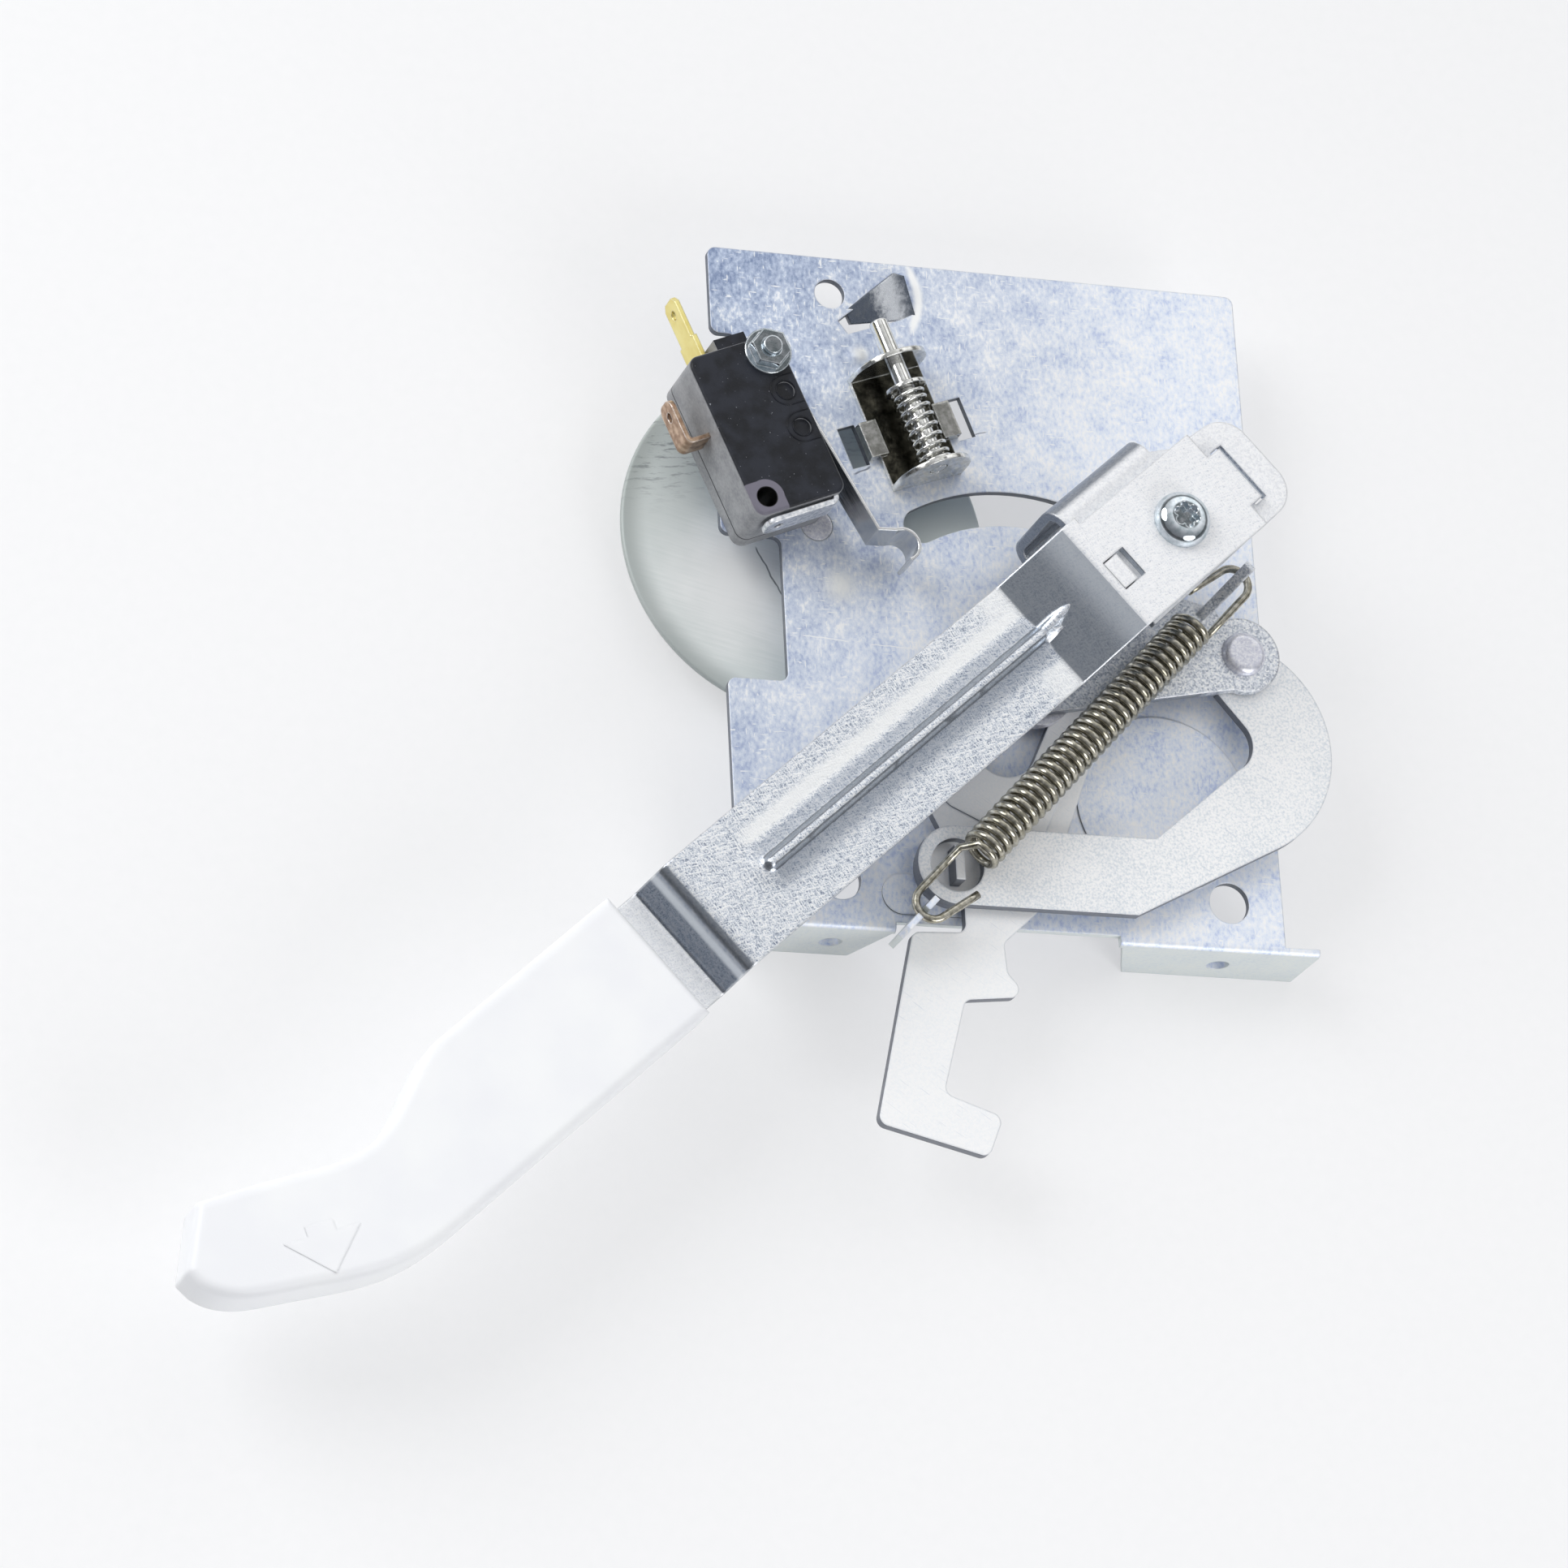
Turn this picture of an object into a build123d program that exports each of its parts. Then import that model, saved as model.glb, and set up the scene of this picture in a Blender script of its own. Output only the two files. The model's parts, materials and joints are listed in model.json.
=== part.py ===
from build123d import *
import os
from math import atan2, cos, degrees, radians, sin

# Oven door latch. The origin lies midway between the two front screws on the front face of the flanges,
# +Z up through the plate and +Y towards the back. Flat layers are drawn on planes centred on the lever pivot.

# Base plate
plate_top = 6.5
plate_t = 1.2
plate_left = 48.6
plate_right = 41.0
plate_back = 72.3
pivot_back = 40.8
notch_back = 1.5
waist_left = 38.8
waist_front = -0.9
waist_back = 23.2
corner_notch_front = 53.5
corner_notch_back = 57.4
corner_notch_in = 44.4
plate_corner_r = 1.4
flange_drop = 12.2
flange_gap_left = -23.4
flange_gap_right = 13.4
flange_right = 46.8
flange_slant = 4.6
flange_slant_left = 4.0
flange_bend_r = 1.0
screw_spacing = 64.0
screw_hole_r = 1.8
rim_hole_x = 32.0
rim_hole_front = 32.8
rim_hole_r = 3.3
corner_hole_x = -28.5
corner_hole_y = 66.0
corner_hole_r = 2.5
emboss_h = 0.25
round_emboss_x = 22.0
round_emboss_y = -17.0
round_emboss_r = 14.5
long_emboss_x = -16.0
long_emboss_y = -34.7
long_emboss_l = 19.0
long_emboss_w = 6.6
louver_x = -14.2
louver_y = 63.7
louver_turn = 110.7
louver_tilt = 20.0
louver_tab = ((0, 0), (6.5, 0), (7.4, 1.5), (3.8, 11.2), (1.5, 10.8), (-0.2, 2.4))
louver_hole = (
    (-14.4, 63.9), (-16.6, 69.6), (-18.0, 70.3), (-24.5, 63.8), (-27.3, 61.4), (-25.7, 59.3), (-16.5, 62.7),
)
small_dome = dict(x=-24.5, y=55.4)
small_dome_r = 2.2
small_dome_h = 0.5
broad_dome = dict(x=-30.1, y=16.0)
broad_dome_r = 4.0
broad_dome_h = 0.3
slot_mid_r = 31.2
slot_w = 5.8
slot_start = 66.0
slot_end = 119.6

# Layers above the plate
layer_gap = 0.4
sheet_t = 1.6
fit = 0.05
slide_fit = 0.15
hook_z = layer_gap
hook_top = hook_z + sheet_t
link_z = hook_top + layer_gap
link_top = link_z + sheet_t
crank_z = link_top + layer_gap
crank_top = crank_z + sheet_t

# Pivot
post_r = 3.0
post_head_r = 4.4
post_head_h = 1.2
bush_r = 5.0
bush_flange_r = 6.9
pad_h = 0.25

# Linkage
lever_angle = 41.4
crank_reach = 35.8
crank_angle = 11.0
pull_reach = 34.0
hook_angle = -115.0
rivet_r = 2.5
rivet_head_r = 3.6
rivet_head_h = 1.4
rivet_crown = 1.25
rivet_tail_h = 0.7
crank_eye_r = 6.2
crank_bar_w = 11.0
link_eye_r = 6.4
link_hole_r = 4.3
blade_w = 5.6
blade_t = 1.5
blade_rise = 1.2
hook_slot_l = 11.3
hook_slot_back = 0.3
hook_corner_r = 1.5
hook_eye_rim = 0.4
hook_pad_l = 32.0
hook_pad_w = 18.0
hook_pad_r = 3.0
hook_pad_at = (8.6, 2.2)
hook_edge = (
    (14.8, 1.9), (0.2, -36.0), (-6.8, -42.4), (-6.5, -47.2), (-3.4, -50.9),
    (-13.7, -51.9), (-18.0, -67.0), (-8.7, -70.3), (-11.4, -76.8), (-28.9, -72.2),
    (-21.6, -41.4), (-12.9, -41.0), (-12.9, -31.0), (-17.4, -21.7), (-3.9, 10.6),
)
link_bar = ((40.0, -24.3), (15.0, -37.2), (-14.4, -37.2), (-14.4, -24.4), (18.9, -24.4), (33.9, -11.8))
link_inner_bow = (36.4, -8.0)
link_neck = ((35.4, -4.6), (31.0, 0.8), (42.1, 7.3))
link_outer_bow = (49.8, -8.5)

# Crank
platform_z = 20.4
wall_outer = 18.3
wall_start = 12.9
wall_end = 25.0
short_wall_end = 33.0
short_wall_drop = 4.8
wall_lap = 1.0
bend_r = 3.4
web_back = ((0, 0), (-2.0, 5.0))
web_front = ((30.8, 15.2), (30.8, 12.0), (26.4, 9.6), (28.6, -4.0), (32.6, -9.6), (30.8, -16.0))
platform_end = 48.4
platform_right = -6.1
platform_end_right = -5.3
platform_end_left = 12.0
platform_end_r = 5.0
platform_neck = (36.5, 13.0)
tab_angle = 66.5
tab_w = 3.0
tab_drop = 4.0
finger_w = 1.8
finger_lean = 7.0
finger_root = -6.9
finger_foot = 5.0
finger_top = 15.6

# Lever
lever_t = 1.5
lever_w = 20.0
lever_offset = 4.4
strip_z = 14.3
slope_end = 12.0
lever_far = 39.4
top_trim = 1.3
trim_start = 14.0
tongue_w = 10.0
tongue_n = 3.2
tongue_s = 42.2
tongue_drop = 4.2
tongue_lap = 2.0
tongue_play = 0.35
tongue_gap = 0.7
tongue_bend = 0.2
joggle_top = -73.9
joggle_foot = -77.3
handle_root = -82.6
tail_in_handle = 14.0
rib_w = 8.8
rib_h = 1.6
rib_ridge_w = 2.6
rib_ridge_foot = 0.55
rib_skirt = (2.7, 0.2)
rib_start = -61.0
rib_on_slope = 7.4
rib_tail_w = 4.0
rib_tail_h = 1.1
lever_bend_r = 2.2
lever_screw_s = 28.0
lever_screw_n = 3.4
lever_screw_r = 2.4
lever_screw_head_r = 4.55
lever_screw_head_h = 2.6
lever_screw_crown = 2.3
lever_screw_l = 8.0
recess_r = 1.55
recess_lobes = 6
recess_lobe_r = 0.65
recess_depth = 1.4
window_s = 14.6
window_n = 3.5
window_l = 4.6
window_w = 5.4
catch_s = 13.8
catch_l = 2.9
catch_w = 5.0

# Handle
handle_z = 4.3
handle_h = 8.1
handle_left = 16.4
handle_right = -6.4
handle_straight = -117.5
handle_scoop = ((-126.1, 14.1), (-136.4, 11.0), (-149.4, 15.1), (-161.1, 20.0))
handle_scoop_exit = (-0.93, 0.37)
handle_nose = ((-162.7, 20.6), (-170.8, 13.8), (-170.6, 11.2))
handle_nose_r = 0.8
handle_belly = ((-161.0, 2.4), (-148.8, -3.9))
handle_belly_entry = (0.3, -1)
handle_belly_end = -133.8
handle_edge_r = 1.6
arrow_w = 11.9
arrow_l = 6.0
arrow_shaft_w = 4.4
arrow_shaft_l = 1.6
arrow_h = 0.12
arrow_at = dict(x=-117.6, y=-96.3, turn=18.6)

# Lock pin
pin_x = -13.9
pin_y = 34.6
pin_angle = 109.7
pin_z = 5.5
pin_r = 1.5
pin_l = 26.2
clip_at = 13.9
clip_t = 0.7
clip_r = 3.4
groove_depth = 0.3
bracket_l = 19.7
bracket_w = 12.4
bracket_t = 0.8
ear_h = 9.4
pin_spring_r = 2.75
pin_wire = 0.6
pin_turns = 9
pin_chamfer = 0.3
clip_tab_l = 6.0
clip_tab_w = 3.0
clip_tab_t = 1.5
clip_tab_h = 1.0
clip_tab_back = 1.0
clip_tab_play = 0.4
clip_window_l = 7.0

# Limit switch
switch_x = -44.35
switch_y = 36.5
switch_angle = -67.9
switch_l = 27.8
switch_w = 15.9
switch_h = 12.4
switch_base_h = 2.6
switch_corner_r = 1.8
switch_edge = 0.4
switch_hole_edge = 2.8
switch_hole_r = 1.6
switch_end_wall = 6.4
switch_side_wall = 2.15
cavity_top = 10.6
dimple_r = 1.5
dimple_depth = 0.6
dimple_side = 5.4
dimple_places = (2.0, -4.4)
step_l = 1.7
step_w = 5.4
step_side = 0.4
step_z = 6.4
terminal_z = 6.4
terminal_w = 4.75
terminal_t = 0.8
terminal_hole_r = 0.8
terminal_eye = 2.4
terminal_chamfer = 0.9
terminal_tip_r = 1.6
brass_side = -3.6
brass_l = 11.6
brass_shoulder_l = 4.4
brass_shoulder_w = 6.2
copper_u = -2.2
copper_reach = 3.6
copper_l = 7.6
silver_z = 9.4
silver_side = 6.0
silver_reach = 0.9
silver_l = 12.4
plunger_u = 1.5
plunger_r = 1.1
plunger_l = 4.6
plunger_play = 0.75
snap_play = 1.0
snap_t = 0.4
switch_lever_z = 2.8
switch_lever_w = 6.2
switch_lever_t = 0.5
strip_hinge_r = 0.7
strip_hinge_u = -5.5
strip_hinge_out = 0.8
strip_bend = (20.4, 11.8)
strip_curl = ((21.4, 14.6), (24.2, 17.2), (26.6, 14.6))
switch_screw_r = 1.5
switch_screw_head_r = 2.8
switch_screw_head_h = 1.6
switch_screw_proud = 0.8
nut_r = 3.2
nut_h = 2.4
nut_flange_w = 0.6
nut_flange_h = 0.6

# Heat disc
disc_x = -32.8
disc_y = 25.8
disc_r = 30.0
disc_t = 0.8
disc_z = -6.0
stud_r = 4.0
stud_tenon_r = 2.6
stud_foot_h = 1.0

# Springs
valley_depth = 0.45
spring_r = 3.45
spring_wire = 1.3
spring_turns = 33
loop_r = 2.7
loop_tail = 7.0
loop_splay = 13.0
anchor_x = -22.3
anchor_y = -40.8
anchor_z = 8.3
finger_x = 33.2
finger_y = 17.8
finger_z = 12.5
lower_loop_l = 13.6
upper_loop_l = 12.4
lug_l = 10.5
lug_t = 1.0
lug_top = 9.6
lug_over = 5.2
lug_foot = 0.6
lug_nose_low = 3.6
lug_nose_chamfer = 1.4
lug_back_drop = 4.0
lug_notch_play = 0.2


def deck(z=0.0, x=0.0, y=0.0, turn=0.0):
    """Plane parallel to the base plate, z above its top face, placed from the lever pivot."""
    direction = (cos(radians(turn)), sin(radians(turn)), 0)
    return Plane(origin=(x, pivot_back + y, plate_top + z), x_dir=direction, z_dir=(0, 0, 1))


def lever_deck(z=0.0):
    """Deck with its x axis along the lever and its y axis to the lever's left."""
    return deck(z, turn=lever_angle)


def across(base, x):
    """Upright plane square to the x axis of a deck, with its own x to the left and its y up."""
    return Plane(origin=base.origin + base.x_dir * x, x_dir=base.y_dir, z_dir=base.x_dir)


def beside(base, y):
    """Upright plane along the x axis of a deck, moved y to its left, with its own y up."""
    return Plane(origin=base.origin + base.y_dir * y, x_dir=base.x_dir, z_dir=-base.y_dir)


def polar(reach, angle):
    return (reach * cos(radians(angle)), reach * sin(radians(angle)))


def dome_half(plane, *flank):
    """Half section of a pressed dome or rib, with its crown on the plane's y axis and its soft foot on x."""
    with BuildSketch(plane) as half:
        with BuildLine():
            Spline(*flank, tangents=((1, 0), (1, 0)))
            Polyline(flank[-1], (0, 0), flank[0])
        make_face()
    return half.sketch


def save(piece, name):
    piece.part.label = name
    export_step(piece.part, f"parts/{name}.step")


os.makedirs("parts", exist_ok=True)
crank_eye = polar(crank_reach, crank_angle)
pull_eye = polar(pull_reach, hook_angle)
switch_deck_at = dict(x=switch_x, y=switch_y, turn=switch_angle)
pin_deck_at = dict(x=pin_x, y=pin_y, turn=pin_angle)
nut_at = (switch_hole_edge - switch_l / 2, switch_w / 2 - switch_hole_edge)
spare_hole_at = (-nut_at[0], -nut_at[1])
cavity_l = switch_l - 2 * switch_end_wall
cavity_w = switch_w - 2 * switch_side_wall
spring_turn = degrees(atan2(finger_y - anchor_y, finger_x - anchor_x))

# Base plate: one folded sheet with an arc slot, a louver, two raised pads and two pressed domes
front = -pivot_back
tab_path = CenterArc((0, 0), slot_mid_r, slot_start, slot_end - slot_start)
clip_tab_at = bracket_l / 2 - clip_tab_back
clip_reach = bracket_w / 2 + clip_tab_play
with BuildPart() as base_plate:
    with BuildSketch(deck(-plate_t)) as blank:
        with BuildLine():
            Polyline(
                (-plate_left, front),
                (flange_gap_left, front),
                (flange_gap_left, front + notch_back),
                (flange_gap_right, front + notch_back),
                (flange_gap_right, front),
                (plate_right, front),
                (plate_right, plate_back),
                (-plate_left, plate_back),
                (-plate_left, corner_notch_back),
                (-corner_notch_in, corner_notch_back),
                (-corner_notch_in, corner_notch_front),
                (-plate_left, corner_notch_front),
                (-plate_left, waist_back),
                (-waist_left, waist_back),
                (-waist_left, waist_front),
                (-plate_left, waist_front),
                close=True,
            )
        make_face()
        fillet(blank.vertices().filter_by_position(Axis.Y, waist_front - 1, plate_back + 1), plate_corner_r)
    extrude(amount=plate_t)
    with BuildSketch(Plane.XZ):
        for start, end, slant, end_slant in (
            (-plate_left, flange_gap_left, 0, flange_slant_left),
            (flange_gap_right, flange_right, flange_slant, 0),
        ):
            with BuildLine():
                Polyline(
                    (start, plate_top),
                    (end, plate_top),
                    (end - end_slant, plate_top - flange_drop),
                    (start + slant, plate_top - flange_drop),
                    close=True,
                )
            make_face()
        with GridLocations(screw_spacing, 0, 2, 1):
            Circle(screw_hole_r, mode=Mode.SUBTRACT)
    extrude(amount=-plate_t)
    bends = base_plate.edges().filter_by(Axis.X).group_by(Axis.Z)[-1].group_by(Axis.Y)[0]
    fillet(bends, flange_bend_r)
    with BuildSketch(deck(-plate_t)):
        with Locations((-rim_hole_x, -rim_hole_front), (rim_hole_x, -rim_hole_front)):
            Circle(rim_hole_r)
        with Locations((corner_hole_x, corner_hole_y)):
            Circle(corner_hole_r)
        Circle(post_r + fit)
        with Locations((disc_x, disc_y)):
            Circle(stud_tenon_r + fit)
        SlotArc(tab_path, slot_w)
        with BuildLine():
            Polyline(*louver_hole, close=True)
        make_face()
    extrude(amount=plate_t, mode=Mode.SUBTRACT)
    with BuildSketch(deck(-plate_t, **switch_deck_at)):
        with Locations(nut_at, spare_hole_at):
            Circle(switch_hole_r)
    extrude(amount=plate_t, mode=Mode.SUBTRACT)
    with BuildSketch(deck()):
        with Locations((round_emboss_x, round_emboss_y)):
            Circle(round_emboss_r)
        with Locations((long_emboss_x, long_emboss_y)):
            SlotOverall(long_emboss_l, long_emboss_w)
    extrude(amount=emboss_h)
    with BuildSketch(deck(0, louver_x, louver_y, louver_turn).rotated((louver_tilt, 0, 0))):
        with BuildLine():
            Polyline(*louver_tab, close=True)
        make_face()
    extrude(amount=-plate_t)
    for place, r, h in ((small_dome, small_dome_r, small_dome_h), (broad_dome, broad_dome_r, broad_dome_h)):
        upright = beside(deck(**place), 0)
        revolve(dome_half(upright, (0, h), (r, 0)), axis=Axis(upright.origin, upright.y_dir))
    with BuildSketch(deck(-plate_t, **pin_deck_at)):
        for side in (-1, 1):
            with Locations((clip_tab_at, side * (clip_reach + clip_tab_w))):
                Rectangle(clip_window_l, clip_tab_w)
    extrude(amount=plate_t, mode=Mode.SUBTRACT)
save(base_plate, "base_plate")

# Notched lug at the plate's front edge, which holds the main spring's lower loop
lug_end = lug_l - lug_over
lug_notch_w = spring_wire + 2 * lug_notch_play
with BuildPart() as spring_lug:
    with BuildSketch(beside(deck(0, anchor_x, anchor_y, spring_turn), 0)):
        with BuildLine():
            Polyline(
                (-lug_over, lug_nose_low),
                (lug_foot, emboss_h),
                (lug_end, emboss_h),
                (lug_end, lug_top - lug_back_drop),
                (lug_end - lug_back_drop / 2, lug_top),
                (lug_nose_chamfer - lug_over, lug_top),
                (-lug_over, lug_top - lug_nose_chamfer),
                close=True,
            )
        make_face()
        with Locations((0, lug_top)):
            Rectangle(lug_notch_w, 2 * (lug_top - anchor_z) + lug_notch_w, mode=Mode.SUBTRACT)
    extrude(amount=lug_t / 2, both=True)
save(spring_lug, "spring_lug")

# Round heat shield disc hung on a shouldered stud below the plate
with BuildPart() as heat_disc:
    with BuildSketch(deck(disc_z - disc_t, disc_x, disc_y)):
        Circle(disc_r)
        Circle(stud_tenon_r + fit, mode=Mode.SUBTRACT)
    extrude(amount=disc_t)
    rims = heat_disc.edges().filter_by(GeomType.CIRCLE).group_by(SortBy.RADIUS)[-1]
    fillet(rims.group_by(Axis.Z)[-1], disc_t / 2)
save(heat_disc, "heat_disc")

with BuildPart() as disc_stud:
    with BuildSketch(deck(disc_z - disc_t, disc_x, disc_y)):
        Circle(stud_tenon_r)
    extrude(amount=disc_t - disc_z)
    with BuildSketch(deck(disc_z, disc_x, disc_y)):
        Circle(stud_r)
    extrude(amount=-disc_z - plate_t)
    with BuildSketch(deck(disc_z - disc_t, disc_x, disc_y)):
        Circle(stud_r)
    extrude(amount=-stud_foot_h)
save(disc_stud, "disc_stud")

# Pivot post riveted through the plate, with the flanged bush that guides the hook's slot
with BuildPart() as pivot_post:
    with BuildSketch(deck(-plate_t)):
        Circle(post_r)
    extrude(amount=plate_t + crank_top)
    with BuildSketch(deck(crank_top)):
        Circle(post_head_r)
    extrude(amount=post_head_h)
    fillet(pivot_post.edges().group_by(Axis.Z)[-1], post_head_h / 2)
    with BuildSketch(deck(-plate_t)):
        Circle(post_head_r)
    extrude(amount=-post_head_h)
save(pivot_post, "pivot_post")

with BuildPart() as guide_bush:
    with BuildSketch(deck()):
        Circle(bush_r)
    extrude(amount=crank_z)
    with BuildSketch(deck(hook_top + pad_h + slide_fit)):
        Circle(bush_flange_r)
    extrude(amount=crank_z - hook_top - pad_h - slide_fit)
    with BuildSketch(deck()):
        Circle(post_r + fit)
    extrude(amount=crank_z, mode=Mode.SUBTRACT)
save(guide_bush, "guide_bush")

# Latch hook: slotted plate with a toothed mouth and an upright blade for the link
with BuildPart() as hook:
    with BuildSketch(deck(hook_z)) as hook_outline:
        with BuildLine():
            Polyline(*hook_edge, close=True)
        make_face()
        fillet(hook_outline.vertices(), hook_corner_r)
        with Locations(pull_eye):
            Circle(link_eye_r - hook_eye_rim)
    extrude(amount=sheet_t)
    with BuildSketch(deck(hook_top, turn=hook_angle)):
        with Locations(hook_pad_at):
            RectangleRounded(hook_pad_l, hook_pad_w, hook_pad_r)
    extrude(amount=pad_h)
    with BuildSketch(deck(hook_z, turn=hook_angle)):
        with Locations((hook_slot_l / 2 - hook_slot_back, 0)):
            SlotCenterToCenter(hook_slot_l, 2 * (bush_r + slide_fit))
    extrude(amount=sheet_t + pad_h, mode=Mode.SUBTRACT)
    with BuildSketch(deck(hook_z, *pull_eye)):
        Rectangle(blade_t, blade_w)
    extrude(amount=link_top + blade_rise - hook_z)
save(hook, "hook")

# Bowed link between the crank's rivet and the hook's blade
with BuildPart() as link:
    with BuildSketch(deck(link_z)) as link_outline:
        with BuildLine():
            Polyline(*link_bar)
            ThreePointArc(link_bar[-1], link_inner_bow, link_neck[0])
            Polyline(*link_neck)
            ThreePointArc(link_neck[-1], link_outer_bow, link_bar[0])
        make_face()
        with Locations(crank_eye):
            Circle(crank_eye_r)
        with Locations(pull_eye):
            Circle(link_eye_r)
            Circle(link_hole_r, mode=Mode.SUBTRACT)
        with Locations(crank_eye):
            Circle(rivet_r + slide_fit, mode=Mode.SUBTRACT)
    extrude(amount=sheet_t)
save(link, "link")

# Crank: one sheet folded into an arm, a side wall and a raised platform
platform_top = platform_z + sheet_t
with BuildPart() as crank:
    with BuildSketch(deck(crank_z)):
        with Locations(Location((crank_eye[0] / 2, crank_eye[1] / 2), crank_angle)):
            SlotCenterToCenter(crank_reach, crank_bar_w)
        with Locations(crank_eye):
            Circle(crank_eye_r)
    extrude(amount=sheet_t)
    with BuildSketch(lever_deck(crank_z)):
        with BuildLine():
            Polyline(
                *web_back,
                (wall_start, wall_outer - bend_r),
                (wall_end, wall_outer - bend_r),
                *web_front,
                close=True,
            )
        make_face()
    extrude(amount=sheet_t)
    for start, end, low in (
        (wall_start, wall_end, crank_z),
        (wall_end, short_wall_end, platform_top - short_wall_drop),
    ):
        with BuildSketch(across(lever_deck(), start)):
            with Locations((wall_outer / 2, (crank_z + platform_top) / 2)):
                RectangleRounded(wall_outer, platform_top - crank_z, bend_r)
                offset(amount=-sheet_t, mode=Mode.SUBTRACT)
            with Locations((wall_outer, low)):
                Rectangle(
                    2 * (bend_r + wall_lap),
                    platform_top - low,
                    align=(Align.CENTER, Align.MIN),
                    mode=Mode.INTERSECT,
                )
        extrude(amount=end - start)
    with BuildSketch(lever_deck(platform_z)) as platform:
        with BuildLine():
            Polyline(
                (wall_start, platform_right),
                (platform_end, platform_end_right),
                (platform_end, platform_end_left),
                platform_neck,
                (short_wall_end, wall_outer - bend_r),
                (wall_start, wall_outer - bend_r),
                close=True,
            )
        make_face()
        fillet(platform.vertices().group_by(Axis.X)[-1], platform_end_r)
        with Locations((tongue_s + (tongue_gap - tongue_play) / 2, tongue_n)):
            Rectangle(lever_t + tongue_play + tongue_gap, tongue_w + 2 * tongue_play, mode=Mode.SUBTRACT)
        with Locations((lever_screw_s, lever_screw_n)):
            Circle(lever_screw_r + fit, mode=Mode.SUBTRACT)
    extrude(amount=sheet_t)
    with BuildSketch(lever_deck(platform_top)):
        with Locations((catch_s, window_n)):
            Rectangle(catch_l, catch_w)
    extrude(amount=lever_t)
    with BuildSketch(deck(-tab_drop, turn=tab_angle)):
        with Locations((slot_mid_r, 0)):
            Rectangle(tab_w, sheet_t)
    extrude(amount=crank_z + tab_drop)
    with BuildSketch(beside(deck(0, finger_x, finger_y, spring_turn), 0)):
        with BuildLine():
            FilletPolyline(
                (finger_root - finger_foot, crank_z + sheet_t / 2),
                (finger_root, crank_z + sheet_t / 2),
                (finger_root + finger_lean, finger_top),
                radius=sheet_t,
            )
        trace(line_width=sheet_t)
    extrude(amount=finger_w / 2, both=True)
    with BuildSketch(deck(crank_z)):
        Circle(post_r + fit)
        with Locations(crank_eye):
            Circle(rivet_r + fit)
    extrude(amount=sheet_t, mode=Mode.SUBTRACT)
save(crank, "crank")

with BuildPart() as crank_rivet:
    with BuildSketch(deck(link_z, *crank_eye)):
        Circle(rivet_r)
    extrude(amount=crank_top - link_z)
    with BuildSketch(deck(link_z, *crank_eye)):
        Circle(rivet_head_r)
    extrude(amount=-rivet_tail_h)
    with BuildSketch(deck(crank_top, *crank_eye)):
        Circle(rivet_head_r)
    extrude(amount=rivet_head_h)
    fillet(crank_rivet.edges().group_by(Axis.Z)[-1], rivet_crown)
save(crank_rivet, "crank_rivet")

# Lever: one ribbed strip, joggled into the handle and cranked up on to the platform
tail_z = handle_z + handle_h / 2
strip_mid = strip_z + lever_t / 2
top_mid = platform_top + lever_t / 2
slope = degrees(atan2(top_mid - strip_mid, slope_end))
rib_flank = ((0, rib_h), (rib_ridge_w / 2, rib_ridge_foot), rib_skirt, (rib_w / 2, 0))
rib_tail_flank = ((0, rib_tail_h), (rib_tail_w / 2, 0))
flat_run = Plane(lever_deck(strip_z + lever_t) * Pos(0, lever_offset, 0))
slope_run = flat_run.rotated((0, -slope, 0))
with BuildPart() as lever:
    with BuildSketch(beside(lever_deck(), lever_offset)):
        with BuildLine():
            FilletPolyline(
                (handle_root - tail_in_handle, tail_z),
                (joggle_foot, tail_z),
                (joggle_top, strip_mid),
                (0, strip_mid),
                (slope_end, top_mid),
                (lever_far, top_mid),
                radius=lever_bend_r,
            )
        trace(line_width=lever_t)
    extrude(amount=lever_w / 2, both=True)
    with BuildSketch(beside(lever_deck(), tongue_n)):
        with BuildLine():
            FilletPolyline(
                (lever_far - tongue_lap, top_mid),
                (tongue_s, top_mid),
                (tongue_s, top_mid - tongue_drop),
                radius=lever_t / 2 + tongue_bend,
            )
        trace(line_width=lever_t)
    extrude(amount=tongue_w / 2, both=True)
    for run, end, flank in ((flat_run, rib_start, rib_flank), (slope_run, rib_on_slope, rib_tail_flank)):
        tip = Plane(run * Pos(end, 0, 0))
        for side in (-1, 1):
            section = Plane(origin=tip.origin, x_dir=tip.y_dir * side, z_dir=tip.x_dir * side)
            extrude(dome_half(section, *flank), amount=-side * end)
        upright = beside(tip, 0)
        revolve(dome_half(upright, *flank), axis=Axis(upright.origin, upright.y_dir))
    with BuildSketch(lever_deck(platform_top)):
        with Locations(((trim_start + lever_far) / 2, lever_offset + lever_w / 2)):
            Rectangle(lever_far - trim_start, 2 * top_trim)
        with Locations((lever_screw_s, lever_screw_n)):
            Circle(lever_screw_r + fit)
        with Locations((window_s, window_n)):
            Rectangle(window_l, window_w)
    extrude(amount=lever_t, mode=Mode.SUBTRACT)
save(lever, "lever")

with BuildPart() as lever_screw:
    with BuildSketch(lever_deck(platform_top + lever_t)):
        with Locations((lever_screw_s, lever_screw_n)):
            Circle(lever_screw_head_r)
    extrude(amount=lever_screw_head_h)
    fillet(lever_screw.edges().group_by(Axis.Z)[-1], lever_screw_crown)
    with BuildSketch(lever_deck(platform_top + lever_t)):
        with Locations((lever_screw_s, lever_screw_n)):
            Circle(lever_screw_r)
    extrude(amount=-lever_screw_l)
    with BuildSketch(lever_deck(platform_top + lever_t + lever_screw_head_h)):
        with Locations((lever_screw_s, lever_screw_n)):
            Circle(recess_r)
            with PolarLocations(recess_r, recess_lobes):
                Circle(recess_lobe_r)
    extrude(amount=-recess_depth, mode=Mode.SUBTRACT)
save(lever_screw, "lever_screw")

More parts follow.
